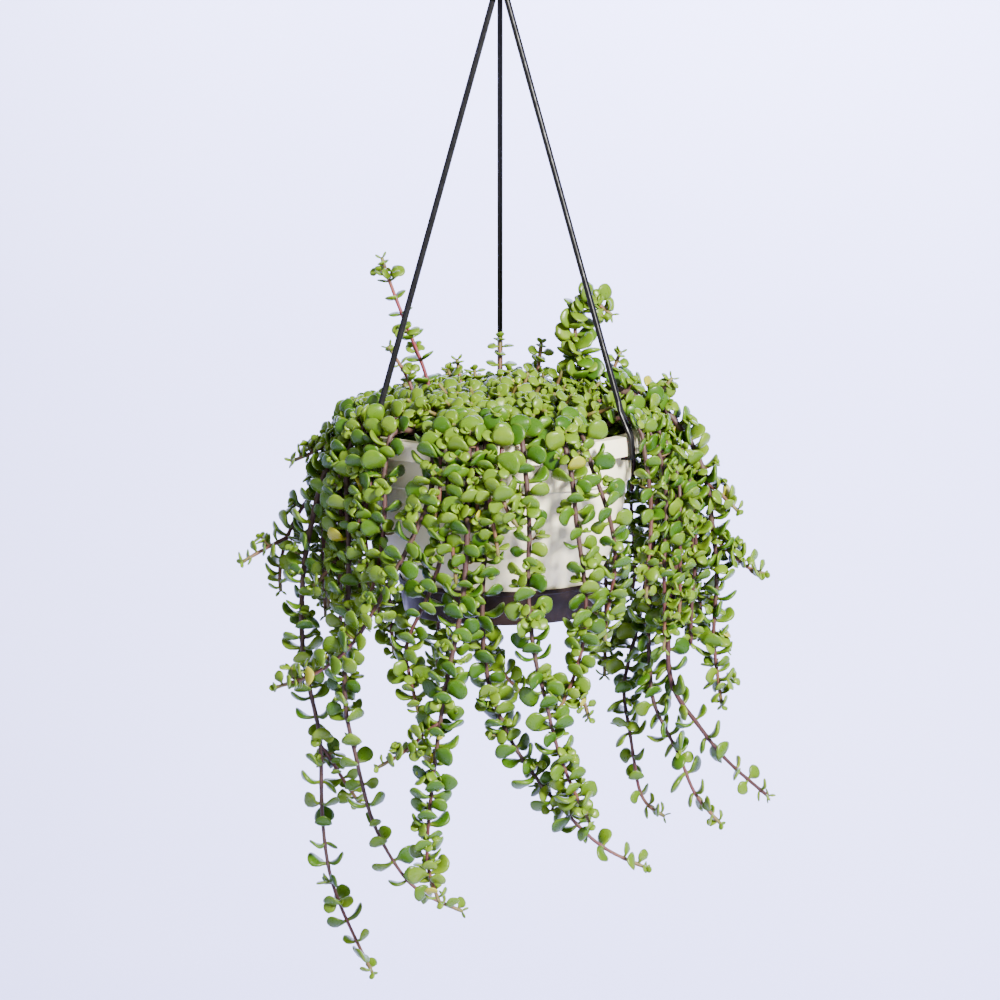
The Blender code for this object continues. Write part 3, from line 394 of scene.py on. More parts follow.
def off_the_pot(point):
    """The point moved out of the pot's wall and rim, with room for a stem."""
    r, z = math.hypot(point[0], point[1]), point[2]
    if r < 1:
        return point
    new_r, new_z = r, z
    if r < 86:
        if z > SOIL_TOP + 4:
            new_z = max(z, SOIL_TOP + 8)
    elif z > -2 and r < 103:
        new_z = max(z, 6.5)
    corner = math.hypot(r - RIM_R, z + 1)
    if corner < 7.5 and r > 90:
        new_r, new_z = RIM_R + (r - RIM_R) * 7.5 / corner, -1 + (z + 1) * 7.5 / corner
    elif z < 0 and r > 86:
        new_r = max(r, float(outer_radius(z)) + 5.5)
    return np.array([point[0] * new_r / r, point[1] * new_r / r, new_z])


# Leaves

class Leaf:
    """One blade: a short neck that leaves the stem square to it, then a round cupped disc."""

    def __init__(self, origin, out, wide, tip, length, bend, twist, swing):
        out, wide = (out * math.cos(swing) + wide * math.sin(swing),
                     wide * math.cos(swing) - out * math.sin(swing))
        self.length = length
        self.thick = LEAF_T * min(1.0, length / 13.0)
        x = np.arange(13) / 12
        angle = (bend * (1 - (1 - x) ** 2))[:, None]
        roll = (twist * np.minimum(1.0, x / 0.4))[:, None]
        self.ahead = out * np.cos(angle) - tip * np.sin(angle)
        face = tip * np.cos(angle) + out * np.sin(angle)
        self.side = wide * np.cos(roll) + face * np.sin(roll)
        self.face = face * np.cos(roll) - wide * np.sin(roll)
        steps = np.vstack([np.zeros(3), self.ahead[:-1]]) * (length / 12)
        self.point = origin + np.cumsum(steps, axis=0)

    def frame_at(self, x):
        """Middle line, side and face directions at shares of the length."""
        f = np.clip(x, 0.0, 0.9999) * 12
        i = f.astype(int)
        k = (f - i)[:, None]
        return [a[i] * (1 - k) + a[i + 1] * k for a in (self.point, self.side, self.face)]

    def at(self, x, across=0.0, lift=0.0):
        """The point at a share of the length, so far to the side and above the middle surface."""
        point, side, face = (a[0] for a in self.frame_at(np.array([x])))
        cup = CUP * across ** 2 * share_of((x - 0.3) / 0.3)
        return point + side * across + face * (lift + cup)

    def rim(self, grow=0.0):
        """Corners of the blade's outline, from one side of the neck round the tip to the other."""
        half = 0.45 * self.length + grow
        more = grow / self.length
        x = np.array([0.34 - more, 0.66 + more, 0.95 + more, 0.95 + more, 0.66 + more, 0.34 - more])
        across = np.array([-0.74, -1.0, -0.5, 0.5, 1.0, 0.74]) * half
        point, side, face = self.frame_at(x)
        cup = CUP * across ** 2 * np.clip((x - 0.3) / 0.3, 0, 1)
        return list(point + side * across[:, None] + face * cup[:, None])

    def crown(self, grow=0.0):
        """The highest point of the blade's swollen upper face, one thickness above its outline."""
        return sum(self.rim()) / 6 + self.face[7] * (self.thick + grow)

    def shell(self, grow=0.0):
        """The blade as points and triangles, for telling whether it meets another."""
        points = self.rim(grow) + [self.crown(grow), self.at(0.62, 0.0, -grow)]
        points += [self.at(0.0, -1.2 - grow), self.at(0.0, 1.2 + grow)]
        faces = [(i, i + 1, 6) for i in range(5)] + [(i + 1, i, 7) for i in range(5)]
        faces += [(5, 9, 6), (9, 8, 6), (8, 0, 6), (9, 5, 7), (8, 9, 7), (0, 8, 7)]
        return [tuple(p) for p in points], faces

    def probes(self):
        """Points spread over the blade and its neck, for telling how near it comes to other things."""
        rim = np.array(self.rim())
        between = 0.5 * (rim + np.roll(rim, 1, axis=0))
        top = rim.sum(axis=0) / 6 + self.face[7] * self.thick
        point = self.frame_at(np.array([0.62, 0.08, 0.2, 0.35]))[0]
        middle, neck = point[:1], point[1:]
        spread = [k * rim + (1 - k) * q for q in (middle, top[None]) for k in (0.35, 0.7)]
        return np.vstack([rim, between, *spread, neck, middle, top[None]])


# The bends and twists tried for a blade, every one with every other
BENDS, TWISTS = [a.ravel() for a in np.meshgrid(
    np.radians(range(-60, 73, 12)), np.radians(range(-54, 55, 18)), indexing="ij")]


def faces_of(out, wide, tip, bends, twists):
    """The way ahead and the face of a blade for every bend and twist."""
    b, k = bends[:, None], twists[:, None]
    face = tip * np.cos(b) + out * np.sin(b)
    return out * np.cos(b) - tip * np.sin(b), face * np.cos(k) - wide * np.sin(k)


def turned_to_light(origin, out, wide, tip, crown):
    """The bend and twist with which a blade faces the light and the outside best."""
    away = unit(origin * (1, 1, 0))
    light = unit(away * (0.35 if crown else 0.75) + np.array((0, 0, 0.9 if crown else 0.65)))
    level = math.sqrt(max(0.0, 1 - tip[2] ** 2))
    ahead, face = faces_of(out, wide, tip, BENDS, TWISTS)
    score = face @ light + ahead @ (away * 0.25 + np.array((0, 0, 0.55)))
    score -= 0.003 * np.abs(np.degrees(BENDS)) + 0.004 * np.abs(np.degrees(TWISTS))
    score[np.abs(np.degrees(TWISTS)) > 8 + 50 * level] = -9
    best = int(np.argmax(score))
    return BENDS[best], TWISTS[best]


ARM_LINES = [np.array(arm_line(azimuth)) for azimuth in ARM_AZIMUTHS.values()]
ARM_A = np.vstack([line[:-1] for line in ARM_LINES])
ARM_B = np.vstack([line[1:] for line in ARM_LINES])


def meets_pot(points):
    """Whether a blade comes into the pot, the saucer, the soil or a hanger arm."""
    r = np.hypot(points[:, 0], points[:, 1])
    z = points[:, 2]
    if np.any((z < SOIL_TOP + 1.2) & (r < 91) & (z > SAUCER_FOOT_Z)):
        return True
    if np.any((z < 1.2) & (r > 88) & (r < SKIRT_R + 1.7) & (z > -SKIRT_H - 1.5)):
        return True
    if np.any((z < -SKIRT_H) & (r < outer_radius(z) + 1.4)):
        return True
    return bool((from_segments(points, ARM_A, ARM_B) < 4.2).any())


def from_segments(points, a, b):
    """Distance of each point from each line segment."""
    d = b - a
    k = np.einsum("pnk,nk->pn", points[:, None] - a[None], d) / np.maximum((d * d).sum(axis=1), 1e-9)
    nearest = a[None] + np.clip(k, 0, 1)[:, :, None] * d[None]
    return np.linalg.norm(points[:, None] - nearest, axis=2)


def pair_places(stem, rng):
    """Lengths along the stem at which its pairs of blades grow."""
    s = 8.0 if stem.parent else ROOT_DEPTH + 13.0
    spots = []
    while s < stem.length - 2.0:
        spots.append(s)
        left = stem.length - s
        gap = CROWN_GAP if stem.crown else TRAILING_GAP
        if left < 45:
            gap *= TIP_CLOSER
        s += gap * rng.uniform(0.9, 1.1)
    return spots


def side_frame(stem, s, side):
    """Middle of one side of the stem, which is given in quarter turns, with the directions out of it,
    across it and along the stem."""
    p, t, u, v = stem.at(s)
    if side == int(side):
        out = (v, -u, -v, u)[int(side) % 4]
    else:
        angle = side * math.pi / 2
        out = v * math.cos(angle) - u * math.sin(angle)
    return p + out * stem.width(s) * math.sqrt(0.5), out, np.cross(t, out), t


# Tries for a blade: share of its size, degrees of extra bend, degrees of swing to the side
TRIES = ((1, 0, 0), (1, -15, 0), (1, 0, 25), (1, 0, -25), (0.85, 12, 0), (0.85, -20, 28),
         (0.85, -20, -28), (0.7, 10, 0), (0.7, 0, 32), (0.7, 0, -32))


# The plant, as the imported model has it

# Most blades in all, how much of its own stem a new blade may lie near, and how near other stems and
# blades have to be to count
MOST_BLADES = 9000
OWN_REACH = 8.0
STEM_REACH = 16
BLADE_REACH = 18


class Thicket:
    """Everything a new blade has to stay clear of: the stems and the blades already there."""

    def __init__(self, stems):
        self.a = np.vstack([stem.line[:-1] for stem in stems])
        self.b = np.vstack([stem.line[1:] for stem in stems])
        self.owner = np.concatenate([np.full(len(stem.line) - 1, i) for i, stem in enumerate(stems)])
        self.along = np.concatenate([stem.along[:-1] for stem in stems])
        self.width = np.concatenate([[stem.width(s) for s in stem.along[:-1]] for stem in stems])
        self.trees = []
        self.centres = np.zeros((MOST_BLADES, 3))

    def add(self, leaf):
        self.centres[len(self.trees)] = leaf.at(0.6)
        self.trees.append(BVHTree.FromPolygons(*leaf.shell()))

    def takes(self, leaf, number, s, leaf_gap, stem_gap):
        """Whether there is room for a blade that grows on the numbered stem."""
        probes = leaf.probes()
        if meets_pot(probes):
            return False
        centre = leaf.at(0.6)
        near = (self.owner != number) | (np.abs(self.along - s) > OWN_REACH)
        near &= np.linalg.norm(self.a - centre, axis=1) < STEM_REACH
        if near.any():
            room = from_segments(probes, self.a[near], self.b[near]) - self.width[near][None]
            if room.min() < stem_gap:
                return False
        count = len(self.trees)
        close = np.flatnonzero(np.abs(self.centres[:count] - centre).max(axis=1) < BLADE_REACH)
        if not len(close):
            return True
        shell = BVHTree.FromPolygons(*leaf.shell(leaf_gap))
        return not any(shell.overlap(self.trees[i]) for i in close)


def fitted_leaf(thicket, stem, s, side, rng, number, size, leaf_gap=LEAF_GAP, stem_gap=STEM_GAP):
    """A blade for this side of the stem that has room, or None."""
    origin, out, wide, tip = side_frame(stem, s, side)
    size = size * rng.uniform(0.88, 1.1)
    jitter = [rng.gauss(0, 1) for _ in range(3)]
    inward = -np.dot(out, unit(origin * (1, 1, 0)))
    hidden = inward > 0.6 and SAUCER_FOOT_Z < origin[2] < -SKIRT_H
    if hidden or (out[2] < -0.55 and abs(tip[2]) < 0.6):
        return None
    in_crown = stem.crown or origin[2] > 2
    if leaf_gap == LEAF_GAP:
        (bend, twist), most = turned_to_light(origin, out, wide, tip, in_crown), MOST_BEND
    else:
        (bend, twist), most = turned_far(stem, origin, out, wide, tip, in_crown, rng), FOLDED_MOST
    for scale, more_bend, swing in TRIES:
        leaf = Leaf(origin, out, wide, tip, size * scale,
                    min(bend + math.radians(more_bend + 6 * jitter[0]), most),
                    twist + math.radians(6 * jitter[1]), math.radians(swing + 7 * jitter[2]))
        if thicket.takes(leaf, number, s, leaf_gap, stem_gap):
            return leaf
    return None


# The blades between: the light from the viewer's side and how far back it reaches, the share of the blades
# on hanging stems that fold back, how far they do, and what the others do of the bends and twists tried
WINDOW = np.array((0.15, -0.6, 0.0))
WINDOW_REACH = 40
FOLDED_SHARE = 0.35
FOLDED_BEND = (42, 66)
FOLDED_TWIST = (-20, 20)
FOLDED_MOST = 1.25
LESS_BENT = 0.75
MORE_TWISTED = 1.25


def turned_far(stem, origin, out, wide, tip, crown, rng):
    """For the blades between: some fold back along a hanging stem with the face out, and the others
    turn to the light, less bent and further twisted than the model's."""
    if not crown and tip[2] < -0.5 and rng.random() < FOLDED_SHARE:
        return math.radians(rng.uniform(*FOLDED_BEND)), math.radians(rng.uniform(*FOLDED_TWIST))
    away = unit(origin * (1, 1, 0))
    sway = swayed(rng, 0.3, 0.6 if crown else 0.5)
    if stem.name.startswith("tall_shoot"):
        window = 4.0
    else:
        window = 1.0 if crown else 0.6 if origin[1] < WINDOW_REACH else 0.0
    light = unit(away * (0.35 if crown else 0.9) + sway + window * WINDOW)
    bends, twists = LESS_BENT * BENDS, MORE_TWISTED * TWISTS
    ahead, face = faces_of(out, wide, tip, bends, twists)
    score = face @ light + ahead @ (away * 0.2 + np.array((0, 0, 0.35)))
    score -= 0.006 * np.abs(np.degrees(bends)) + 0.002 * np.abs(np.degrees(twists))
    best = int(np.argmax(score))
    return bends[best], twists[best]


def node_leaves(thicket, stem, number, s, parity, rng, size, leaf_gap=LEAF_GAP, stem_gap=STEM_GAP):
    """A pair of opposite blades at one place on a stem, as far as there is room for them."""
    sides = [None, None]
    for which in (0, 1):
        leaf = fitted_leaf(thicket, stem, s, parity + 2 * which, rng, number, size, leaf_gap, stem_gap)
        if leaf is not None:
            thicket.add(leaf)
        sides[which] = leaf
    return sides


def model_stems():
    """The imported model's stems, before they are bent clear of one another."""
    stems = [Stem("trailing_stem_%02d" % number, rooted_route(r, az, route), half, leaf)
             for number, (r, az, half, leaf, route) in TRAILING.items()]
    stems += [Stem(name, rooted_route(r, az, route), half, leaf, crown=True)
              for name, (r, az, half, leaf, route) in TALL.items()]
    stems += [Stem("crown_shoot_%02d" % (i + 1), crown_route(i), 1.8, CROWN_LEAF, crown=True)
              for i in range(CROWN_SHOOTS)]
    named = {stem.name: stem for stem in stems}
    stems += [Stem(parent, smooth_route(route), half, leaf, parent=named[parent])
              for parent, half, leaf, route in BRANCHES]
    return stems


def model_leaves(stems, thicket):
    """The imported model's blades: the same places, sizes and tries as in its source."""
    for number, stem in enumerate(stems):
        rng = seeded("model", number)
        for count, s in enumerate(pair_places(stem, rng)):
            size = stem.leaf * stem.toward_tip(s, 0.55, 0.45, 55.0)
            sides = node_leaves(thicket, stem, number, s, count % 2, rng, size)
            stem.nodes.append((s, count % 2, sides))


# What the model leaves to this script: the blades between, buds, side sprigs and the crown's thicket

# Share of the length from which a stem has fewer leaves in the photo
SPARSE = {"trailing_stem_01": 0.55, "trailing_stem_02": 0.6, "trailing_stem_06": 0.85,
          "trailing_stem_17": 0.6, "trailing_stem_19": 0.75, "trailing_stem_20": 0.8}
# Room that the added blades keep: less than none from another's outline, since they may lie on one another
TIGHT = -0.7
NEAR_STEM = 0.2
# Pairs in each gap of the tall shoots, the gap that takes three pairs elsewhere, quarter turns from pair
# to pair by their count, sizes, and the step of the last small pairs
TALL_COUNTS = {"tall_shoot_left": 0, "tall_shoot_short": 0, "tall_shoot_right": 3}
WIDE_GAP = 19
PAIR_TURNS = (0, 0.5, 1.0, 0.75)
PAIR_SIZES = (0.8, 0.92, 1.02, 1.1)
LAST_STEP = 5.0


def tight_pair(thicket, stem, number, s, side, rng, size):
    """A pair that may come nearer to others than the model's own, as a node of its stem."""
    return s, side, node_leaves(thicket, stem, number, s, side, rng, size, TIGHT, NEAR_STEM)


def fill_between(stems, thicket):
    """Pairs of blades between the model's own, and the small last pairs at every tip."""
    for number, stem in enumerate(stems):
        rng = seeded("between", number)
        more = []
        spots = stem.nodes
        for (s0, parity, _), (s1, _, _) in zip(spots[:-1], spots[1:]):
            sparse = s0 > SPARSE.get(stem.name, 1.1) * stem.length
            count = 1 if stem.crown or sparse else (3 if s1 - s0 > WIDE_GAP else 2)
            count = TALL_COUNTS.get(stem.name, count)
            for k in range(count):
                s = s0 + (s1 - s0) * (k + 1) / (count + 1) + rng.uniform(-0.8, 0.8)
                size = stem.leaf * stem.toward_tip(s, 0.7, 0.3, 30.0) * rng.choice(PAIR_SIZES)
                side = parity + PAIR_TURNS[count] * (k + 1)
                more.append(tight_pair(thicket, stem, number, s, side, rng, size))
        side = 1 - spots[-1][1]
        for s in np.arange(spots[-1][0] + 6.0, stem.length, LAST_STEP):
            size = 7.0 + 0.5 * (stem.length - s)
            more.append(tight_pair(thicket, stem, number, s, side, rng, size))
            side = 1 - side
        stem.nodes = sorted(stem.nodes + more, key=lambda node: node[0])


# More hanging strands than the model carries: azimuth, how far out, how far down, and leaf length
STRANDS = [
    (174, 16, 105, 14), (184, 22, 140, 14), (193, 12, 165, 14), (202, 16, 120, 15), (209, 6, 150, 15),
    (217, 13, 110, 15), (249, 12, 70, 14), (256, 9, 100, 15), (262, 6, 70, 15), (268, 12, 95, 15),
    (336, 10, 120, 14), (344, 17, 165, 14), (351, 26, 140, 14), (1, 34, 165, 14), (8, 22, 130, 14),
    (18, 30, 120, 14), (32, 12, 150, 13), (46, 10, 110, 13), (60, 9, 140, 13), (74, 9, 100, 13),
    (88, 10, 150, 13), (104, 9, 120, 13), (120, 10, 150, 13), (142, 12, 160, 13), (156, 18, 130, 14),
    (166, 24, 150, 14)]
DROP_STEP = 20
STRAND_HALF = 1.9
STRAND_CLEAR = 6.5
STRAND_ROUNDS = 30
STRAND_SIZES = (0.75, 0.9, 1.0)
# The bare length of a strand's foot, longer at the right where the photo shows old wood
STRAND_BARE, RIGHT_BARE = 26.0, 40.0


def hanging_strands(settled):
    """Extra strands over the rim, bent clear of the model's stems, of one another and of the pot."""
    stems = []
    for i, (azimuth, out, drop, leaf) in enumerate(STRANDS):
        rng = seeded("strand", i)
        sway = rng.uniform(-0.05, 0.05)
        route = []
        for k in range(1, int(drop / DROP_STEP) + 1):
            away = 104.5 + out * (1 - math.exp(-0.9 * k)) - 0.03 * DROP_STEP * k
            bend = azimuth + math.degrees(sway * k * DROP_STEP / 110 + 0.04 * math.sin(k * 1.3 + i))
            route.append(polar(away, bend, 8.0 - DROP_STEP * k))
        over_rim = [polar(60, azimuth, SOIL_TOP - 6), polar(74, azimuth, 2),
                    polar(88, azimuth, 12 + rng.uniform(0, 6)), polar(100, azimuth, 11 + rng.uniform(0, 4))]
        stems.append(Stem("hanging_strands", smooth_route(over_rim + route), STRAND_HALF, leaf))
    bend_clear(stems, settled, STRAND_CLEAR, STRAND_ROUNDS)
    return stems


def strand_leaves(stems, thicket, numbers_from):
    """Pairs of blades all along the extra strands."""
    for i, stem in enumerate(stems):
        rng = seeded("strand leaf", i)
        s = STRAND_BARE if 25 < STRANDS[i][0] < 330 else RIGHT_BARE
        side = float(rng.randrange(2))
        while s < stem.length - 2:
            size = stem.leaf * stem.toward_tip(s, 0.55, 0.45, 50.0) * rng.choice(STRAND_SIZES)
            stem.nodes.append(tight_pair(thicket, stem, numbers_from + i, s, side, rng, size))
            side += 1.0 if rng.random() < 0.7 else 0.6
            s += rng.uniform(6.5, 9.0) * (0.8 if stem.length - s < 30 else 1.0)


BUD_LENGTH = 5.5
BUD_BEND = math.radians(-62)


def bud(stem):
    """The last small pair, folded forward over the tip of a stem."""
    p, t, u, v = stem.at(stem.length)
    return [Leaf(p + side * 0.3, side, other, t, BUD_LENGTH, BUD_BEND, 0.0, 0.0)
            for side, other in ((u, v), (-u, -v))]


def sprig_line(origin, out, tip, length, rng):
    """A short side shoot's centre line, leaving between blade and stem and turning up."""
    lean = unit(out * 0.8 + tip * 0.5 + swayed(rng, 0.3, 0.5))
    end = unit(lean + np.array((0, 0, 0.7)))
    middle = origin + lean * length * 0.5
    return np.array([origin, origin + lean * length * 0.25, middle, middle + end * length * 0.25,
                     middle + end * length * 0.5])


# How likely a side sprig is in the axil of a blade, what is left of that on the sparse part of a stem, the
# two places on the sprig where its pairs grow, its half width, and the ranges of its length and leaves
SIDE_CHANCE = 0.28
SPARSE_CHANCE = 0.12
SIDE_PLACES = (0.62, 0.98)
SIDE_HALF = 0.9
SIDE_LENGTH = (5, 11)
SIDE_LEAF = (8.5, 11.5)


def side_sprigs(stems, thicket):
    """Little side shoots in the axils of the blades, each with a pair or two of small blades."""
    made = []
    for number, stem in enumerate(stems):
        rng = seeded("side sprig", number)
        sparse_from = SPARSE.get(stem.name, 1.1) * stem.length
        for s, parity, _ in list(stem.nodes):
            for which in (0, 1):
                chance = SIDE_CHANCE if s < sparse_from else SPARSE_CHANCE * SIDE_CHANCE
                if rng.random() > chance or s > stem.length - 12:
                    continue
                origin, out, _, tip = side_frame(stem, s + 1.2, parity + 2 * which)
                if meets_pot((origin + out * 5)[None]):
                    continue
                line = sprig_line(origin - out * 0.6, out, tip, rng.uniform(*SIDE_LENGTH), rng)
                sprig = Stem(stem.name, line, SIDE_HALF, rng.uniform(*SIDE_LEAF), stem, stem.crown)
                sprig.measure()
                turn = rng.randrange(2)
                for k, place in enumerate(SIDE_PLACES):
                    sprig.nodes.append(tight_pair(thicket, sprig, number, place * sprig.length,
                                                  (turn + k) % 2, rng, sprig.leaf * (1.0 - 0.25 * k)))
                if any(leaf for node in sprig.nodes for leaf in node[2]):
                    made.append(sprig)
    return made


# Little upright sprouts on top: where their tips are, how far their pairs are from the tip, and their sizes
SPROUTS = [(0, 40, 60), (29, 28, 57), (84, 14, 52), (-30, 20, 46), (120, 10, 34)]
SPROUT_PAIRS = ((20, 10.5), (13, 10), (7, 8.5), (2.5, 7))
SPROUT_HALF, SPROUT_LEAF = 1.3, 10.5
# The sprigs: the dome's height, their count, furthest radius, half width and range of leaf length, the
# number that the first has in the thicket, and the turn from one to the next
DOME = 43.0
SPRIGS = 120
SPRIG_REACH = 103.0
SPRIG_HALF, SPRIG_LEAF = 1.2, (10.5, 13.5)
SPRIG_NUMBERS = 200
GOLDEN_TURN = 137.508


def dome_height(x, y):
    """Height of the crown's top over the rim: high behind the middle, low over the front of the rim."""
    r = math.hypot(x, y) / RIM_R
    return max(9.0, DOME * (1 - 0.5 * r ** 2) * (0.78 + 0.32 * (0.5 + 0.5 * y / RIM_R)))


def kept_bare(number, r, azimuth):
    """Whether a sprig there would hide what the photo shows: the rim at the front, or the old wood."""
    over_wood = azimuth > 336 or azimuth < 22
    return (r > 90 and 282 < azimuth < 336) or (r > 92 and 222 < azimuth < 240) or (
        r > 78 and over_wood and number % 2)


def crown_stem(points, half, leaf):
    stem = Stem("crown_sprigs", smooth_route(points), half, leaf, crown=True)
    stem.measure()
    return stem


def crown_sprigs(thicket):
    """Leaning shoots all over the soil, and a few sprouts, that make the crown's dense top."""
    made = []
    for i in range(SPRIGS):
        rng = seeded("crown sprig", i)
        azimuth = GOLDEN_TURN * i + rng.uniform(-6, 6)
        end_r = SPRIG_REACH * math.sqrt((i + 0.5) / SPRIGS)
        if kept_bare(i, end_r, azimuth % 360):
            continue
        tip = np.array(polar(end_r, azimuth, 0.0))
        tip[2] = dome_height(tip[0], tip[1]) * rng.uniform(0.6, 1.08)
        root = np.array(polar(0.66 * end_r, azimuth + rng.uniform(-10, 10), SOIL_TOP - 4))
        middle = 0.5 * (root + tip) + swayed(rng, 3, 7.0)
        middle[:2] *= 0.95
        front = share_of(0.5 - 0.5 * tip[1] / RIM_R - 0.25 * tip[0] / RIM_R)
        stem = crown_stem([root, middle, tip], SPRIG_HALF, rng.uniform(*SPRIG_LEAF) + 3.5 * front)
        s, side = 0.3 * stem.length, float(rng.randrange(2))
        while s < stem.length:
            size = stem.leaf * stem.toward_tip(s, 0.6, 0.4, 14.0) * rng.uniform(0.85, 1.05)
            stem.nodes.append(tight_pair(thicket, stem, SPRIG_NUMBERS + i, s, side, rng, size))
            side += 1.0
            s += rng.uniform(5.5, 7.5)
        made.append(stem)
    for i, (x, y, z) in enumerate(SPROUTS):
        rng = seeded("sprout", i)
        root = np.array((0.75 * x, 0.75 * y, SOIL_TOP - 4))
        tip = np.array((x, y, z), float)
        stem = crown_stem([root, 0.5 * (root + tip) + (0, 0, 5), tip], SPROUT_HALF, SPROUT_LEAF)
        for k, (left, size) in enumerate(SPROUT_PAIRS):
            stem.nodes.append(tight_pair(thicket, stem, SPRIG_NUMBERS + SPRIGS + i, stem.length - left,
                                         0.5 * i + k, rng, size))
        made.append(stem)
    return made


# Fine shapes

# A blade's rings: share of its length, and half width, half thickness and lift as shares of it too
BLADE_X = np.array([0.0, 0.06, 0.13, 0.22, 0.34, 0.48, 0.62, 0.76, 0.88, 0.96])
BLADE_W = np.array([0.085, 0.095, 0.185, 0.315, 0.420, 0.472, 0.475, 0.425, 0.305, 0.165])
BLADE_T = np.array([0.085, 0.080, 0.088, 0.102, 0.114, 0.118, 0.116, 0.104, 0.080, 0.052])
BLADE_LIFT = np.array([0.0, 0.0, 0.015, 0.035, 0.055, 0.065, 0.066, 0.062, 0.055, 0.048])
# The rings kept and the sides, for blades shorter than each length
BLADE_DETAIL = ((8.5, [0, 2, 3, 5, 7, 8, 9], 6), (11.0, [0, 2, 3, 4, 5, 7, 8, 9], 8),
                (math.inf, list(range(10)), 8))
# Distance of a fine stem's rings, the length under which it is a sprig's, and the half width over which it
# has more sides
RING_STEP = 3.4
SPRIG_LENGTH = 20
THICK_HALF = 1.4
THICK_SIDES, THIN_SIDES = 10, 6


class Gather:
    """Points and faces of one piece, with a growth value for each point, before they become a mesh."""

    def __init__(self):
        self.points, self.growth, self.faces, self.kinds = [], [], [], []
        self.count = 0

    def add(self, points, growth, faces, kind):
        self.points.append(points)
        self.growth.append(growth)
        self.faces.append(faces + self.count)
        self.kinds.append(np.full(len(faces), kind))
        self.count += len(points)


def tube_faces(rings, sides):
    """Triangles of a closed tube whose two ends are each one point: first, rings, last."""
    faces = []
    for k in range(sides):
        j = (k + 1) % sides
        faces.append((0, 1 + j, 1 + k))
        last = 1 + (rings - 1) * sides
        faces.append((last + k, last + j, last + sides))
        for i in range(rings - 1):
            a, b = 1 + i * sides + k, 1 + i * sides + j
            faces += [(a, b, b + sides), (a, b + sides, a + sides)]
    return np.array(faces)


FACE_TABLES = {}


def table_of(rings, sides):
    if (rings, sides) not in FACE_TABLES:
        FACE_TABLES[(rings, sides)] = tube_faces(rings, sides)
    return FACE_TABLES[(rings, sides)]


def add_fine_blade(gather, leaf, rng, age):
    """A fleshy blade: a round neck, then a spoon-like disc with a soft rounded margin."""
    length = leaf.length
    keep, sides = next((keep, sides) for longest, keep, sides in BLADE_DETAIL if length < longest)
    x, w, t, up = BLADE_X[keep], BLADE_W[keep], BLADE_T[keep], BLADE_LIFT[keep]
    w[2:] *= rng.uniform(0.9, 1.04)
    point, side, face = leaf.frame_at(x)
    turn = math.tau * np.arange(sides) / sides
    across = w[:, None] * length * np.cos(turn)[None]
    plump = rng.uniform(0.9, 1.2) * min(1.0, 1.1 - (length - 13) * 0.02)
    lift = t[:, None] * length * plump * np.sin(turn)[None] + (up * length)[:, None]
    lift += rng.uniform(0.8, 1.7) * CUP * across ** 2 * np.clip((x - 0.2) / 0.3, 0, 1)[:, None]
    lift += 0.014 * length * np.sin(3.0 * math.pi * x[:, None] + rng.uniform(0, 6)) * np.cos(turn)[None]
    rings = point[:, None] + side[:, None] * across[:, :, None] + face[:, None] * lift[:, :, None]
    tip_point, _, tip_face = (a[0] for a in leaf.frame_at(np.array([0.9999])))
    first = point[0] - (point[1] - point[0]) * 0.2
    last = tip_point + tip_face * up[-1] * length + (tip_point - point[-1]) * 0.2
    points = np.vstack([first[None], rings.reshape(-1, 3), last[None]])
    growth = np.zeros((len(points), 4))
    growth[:, 0] = rng.random()
    edge = np.abs(np.cos(turn))[None] ** 6 * np.clip((x - 0.25) / 0.3, 0, 1)[:, None]
    growth[1:-1, 1] = np.maximum(edge, np.clip((x - 0.9) / 0.1, 0, 1)[:, None]).ravel()
    growth[-1, 1] = 1.0
    growth[:, 2] = age
    growth[1:-1, 3] = np.repeat(x, sides)
    growth[-1, 3] = 1.0
    gather.add(points, growth, table_of(len(x), sides), 0)


def add_fine_stem(gather, stem, rng, sides):
    """A round stem, a little thicker at each pair of blades, bent as the model's stem is."""
    short = stem.length < SPRIG_LENGTH
    start = 0.0 if stem.parent or short else ROOT_DEPTH - 6.0
    count = max(4, int(stem.length / RING_STEP))
    places = np.linspace(start, stem.length, count)
    spots = np.array([s for s, _, sides_ in stem.nodes if any(sides_)] or [-99.0])
    turn = math.tau * np.arange(sides) / sides
    rings = []
    growth = [[0.5, 0, 0, 0]]
    for s in places:
        p, _, u, v = stem.at(s)
        swell = 1 + 0.22 * np.exp(-((spots - s) / 1.6) ** 2).max() + rng.uniform(-0.03, 0.03)
        radius = max(0.80 * stem.width(s), 0.75 if short else 1.2) * swell
        rings.append(p + radius * (np.cos(turn)[:, None] * u + np.sin(turn)[:, None] * v))
        near = float(np.exp(-((spots - s) / 1.4) ** 2).max())
        young = min(1.0, (stem.length - s) / 90.0)
        growth += [[near, young, min(1.0, stem.half / 3.0), s / stem.length]] * sides
    growth.append([0.5, 0, 0, 1])
    first, first_way = stem.at(places[0])[:2]
    last, last_way = stem.at(stem.length)[:2]
    points = np.vstack([(first - first_way * 0.4)[None], np.array(rings).reshape(-1, 3),
                        (last + last_way * 0.5)[None]])
    gather.add(points, np.array(growth), table_of(count, sides), 1)


def placed(name, data):
    made = bpy.data.objects.new(name, data)
    bpy.context.scene.collection.objects.link(made)
    return made


def smoothed(mesh, smooth=True):
    mesh.polygons.foreach_set("use_smooth", np.full(len(mesh.polygons), smooth))


def surface(name, points, faces, *materials):
    """A smooth mesh as an object of the scene."""
    mesh = bpy.data.meshes.new(name)
    mesh.from_pydata(points, [], faces)
    for made in materials:
        mesh.materials.append(made)
    smoothed(mesh)
    return placed(name, mesh)


